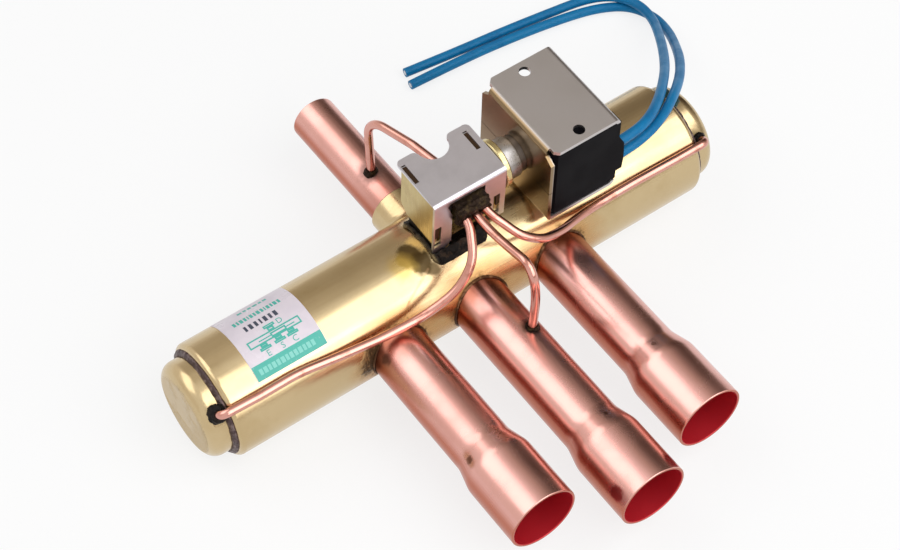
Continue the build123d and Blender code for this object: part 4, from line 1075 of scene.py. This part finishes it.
def floor_material():
    """A diffuse surface that also shows as plain white, fully so away from the part."""
    material, tree, output = empty_material("floor_pale")
    diffuse = tree.nodes.new("ShaderNodeBsdfDiffuse")
    diffuse.inputs["Color"].default_value = FLOOR
    white = tree.nodes.new("ShaderNodeEmission")
    white.inputs["Color"].default_value = WHITE
    place = tree.nodes.new("ShaderNodeTexCoord")
    reach = tree_math(tree, "ShaderNodeVectorMath", "LENGTH")
    tree.links.new(place.outputs["Object"], reach.inputs[0])
    fade = tree.nodes.new("ShaderNodeMapRange")
    fade.inputs["From Min"].default_value = GLOW_FROM
    fade.inputs["From Max"].default_value = GLOW_FULL
    fade.inputs["To Min"].default_value = FLOOR_GLOW
    fade.inputs["To Max"].default_value = 1.0
    tree.links.new(reach.outputs["Value"], fade.inputs["Value"])
    share = tree_math(tree, "ShaderNodeMath", "MULTIPLY")
    tree.links.new(fade.outputs[0], share.inputs[0])
    tree.links.new(seen_ray(tree), share.inputs[1])
    mix = tree.nodes.new("ShaderNodeMixShader")
    tree.links.new(share.outputs[0], mix.inputs["Fac"])
    tree.links.new(diffuse.outputs[0], mix.inputs[1])
    tree.links.new(white.outputs[0], mix.inputs[2])
    tree.links.new(mix.outputs[0], output.inputs["Surface"])
    return material


def seen_ray(tree):
    """1 for rays that show the background: from the camera, off metal and through glass."""
    path = tree.nodes.new("ShaderNodeLightPath")
    total = path.outputs["Is Camera Ray"]
    for name in ("Is Glossy Ray", "Is Transmission Ray"):
        larger = tree_math(tree, "ShaderNodeMath", "MAXIMUM")
        tree.links.new(total, larger.inputs[0])
        tree.links.new(path.outputs[name], larger.inputs[1])
        total = larger.outputs[0]
    return total


def add_plane(name, width, depth, place, turn, material):
    """A flat piece of the stage."""
    mesh = bmesh.new()
    bmesh.ops.create_grid(mesh, x_segments=1, y_segments=1, size=0.5)
    bmesh.ops.scale(mesh, vec=(width, depth, 1), verts=mesh.verts)
    data = bpy.data.meshes.new(name)
    mesh.to_mesh(data)
    mesh.free()
    data.materials.append(material)
    piece = bpy.data.objects.new(name, data)
    piece.location = place
    piece.rotation_euler = turn
    bpy.context.scene.collection.objects.link(piece)
    return piece


def card_material():
    """The studio's dark side: a warm brown that pales away from one direction."""
    material, tree, output = empty_material("flag_card")
    glow = tree.nodes.new("ShaderNodeEmission")
    place = tree.nodes.new("ShaderNodeNewGeometry")
    unit = tree_math(tree, "ShaderNodeVectorMath", "NORMALIZE")
    facing = tree_math(tree, "ShaderNodeVectorMath", "DOT_PRODUCT")
    facing.inputs[1].default_value = DARK_SIDE
    ramp = tree.nodes.new("ShaderNodeValToRGB")
    tones = ramp.color_ramp.elements
    first, middle, last = CARD_TONES
    for element, (position, colour) in zip(tones, (first, last)):
        element.position = position
        element.color = colour
    tones.new(middle[0]).color = middle[1]
    tree.links.new(place.outputs["Position"], unit.inputs[0])
    tree.links.new(unit.outputs[0], facing.inputs[0])
    tree.links.new(facing.outputs["Value"], ramp.inputs["Fac"])
    tree.links.new(ramp.outputs["Color"], glow.inputs["Color"])
    tree.links.new(glow.outputs[0], output.inputs["Surface"])
    return material


def low_card_material():
    """A plain brown card."""
    material, tree, output = empty_material("low_card")
    glow = tree.nodes.new("ShaderNodeEmission")
    glow.inputs["Color"].default_value = LOW_CARD
    tree.links.new(glow.outputs[0], output.inputs["Surface"])
    return material


def flag(name, width, height, place, turn, material):
    """A card that only polished surfaces see."""
    card = add_plane(name, width, height, place, turn, material)
    card.visible_camera = False
    card.visible_diffuse = False
    card.visible_shadow = False


def softbox(name, width, depth, radiance, place):
    """A rectangular lamp of even radiance that faces the part."""
    data = bpy.data.lights.new(name, "AREA")
    data.shape = "RECTANGLE"
    data.size = width
    data.size_y = depth
    data.energy = radiance * pi * width * depth
    piece = bpy.data.objects.new(name, data)
    piece.location = place
    piece.rotation_euler = (-Vector(place)).to_track_quat("-Z", "Y").to_euler()
    piece.visible_camera = False
    bpy.context.scene.collection.objects.link(piece)


def set_world():
    """White behind the part, and a dimmer white as its surroundings' light."""
    world = bpy.data.worlds.new("studio")
    bpy.context.scene.world = world
    world.use_nodes = True
    tree = world.node_tree
    background = tree.nodes["Background"]
    background.inputs["Color"].default_value = WHITE
    level = tree.nodes.new("ShaderNodeMapRange")
    level.inputs["To Min"].default_value = AMBIENT
    level.inputs["To Max"].default_value = 1.0
    tree.links.new(seen_ray(tree), level.inputs["Value"])
    tree.links.new(level.outputs[0], background.inputs["Strength"])


def set_stage():
    """The floor, the cards and the lamps."""
    floor_place = (0, 0, -FLOOR_DROP)
    add_plane("floor", FLOOR_SIZE, FLOOR_SIZE, floor_place, (0, 0, 0), floor_material())
    card = card_material()
    low_card = low_card_material()
    for name, width, height, place, turn in FLAGS:
        material = low_card if name == "flag_front" else card
        flag(name, width, height, place, turn, material)
    leaning = HIGH_FLAG.to_track_quat("Z", "Y").to_euler()
    flag("flag_high", 1.5, 1.3, HIGH_FLAG, leaning, card)
    for lamp in LAMPS:
        softbox(*lamp)
    set_world()
    bpy.context.scene.view_settings.view_transform = "Standard"


# The strands of a cut lead: their radius in metres, their spacing in radii, and each
# strand's rings, with their place along it in metres and share of the radius
STRAND_COUNT = 7
STRAND_R = 0.00026
STRAND_SPACING = 2.05
STRAND_SIDES = 10
STRAND_RINGS = ((-0.0004, 1.0), (0.00008, 1.0), (0.00014, 0.7))


def strands(name, end, before, tin):
    """The cut conductor at a lead's end: seven tinned strands that stand out a little."""
    out = (at(*end) - at(*before)).normalized()
    side = out.cross(Vector((0, 0, 1))).normalized()
    up = side.cross(out)
    mesh = bmesh.new()
    for index in range(STRAND_COUNT):
        turn = index * pi / 3
        away = STRAND_R * STRAND_SPACING if index else 0.0
        middle = at(*end) + away * (cos(turn) * side + sin(turn) * up)
        rings = []
        for reach, radius in STRAND_RINGS:
            ring = []
            for step in range(STRAND_SIDES):
                angle = 2 * pi * step / STRAND_SIDES
                spoke = cos(angle) * side + sin(angle) * up
                ring.append(mesh.verts.new(middle + reach * out + radius * STRAND_R * spoke))
            rings.append(ring)
        for ring, following in zip(rings, rings[1:]):
            for step in range(STRAND_SIDES):
                after = (step + 1) % STRAND_SIDES
                mesh.faces.new((ring[step], ring[after], following[after], following[step]))
        mesh.faces.new(rings[-1])
        mesh.faces.new(reversed(rings[0]))
    return add_mesh(name, mesh, tin, smooth=True)


def add_leads():
    """Both leads, each with its conductor."""
    blue = lead_blue()
    tin = steel("tinned_strands", TIN, (0.3, 0.4), EVEN)
    for node, (start, points, length) in LEAD_ROUTES.items():
        core = strands(node + "_core", points[-1], points[-2], tin)
        wire = lead(node, start, points)
        wire.data.materials.append(blue)


place_camera()
add_leads()
dress_tubes()
dress_brazes()
dress_pilot_and_coil()
return_spring()
label_print()
set_stage()

bpy.context.view_layer.update()
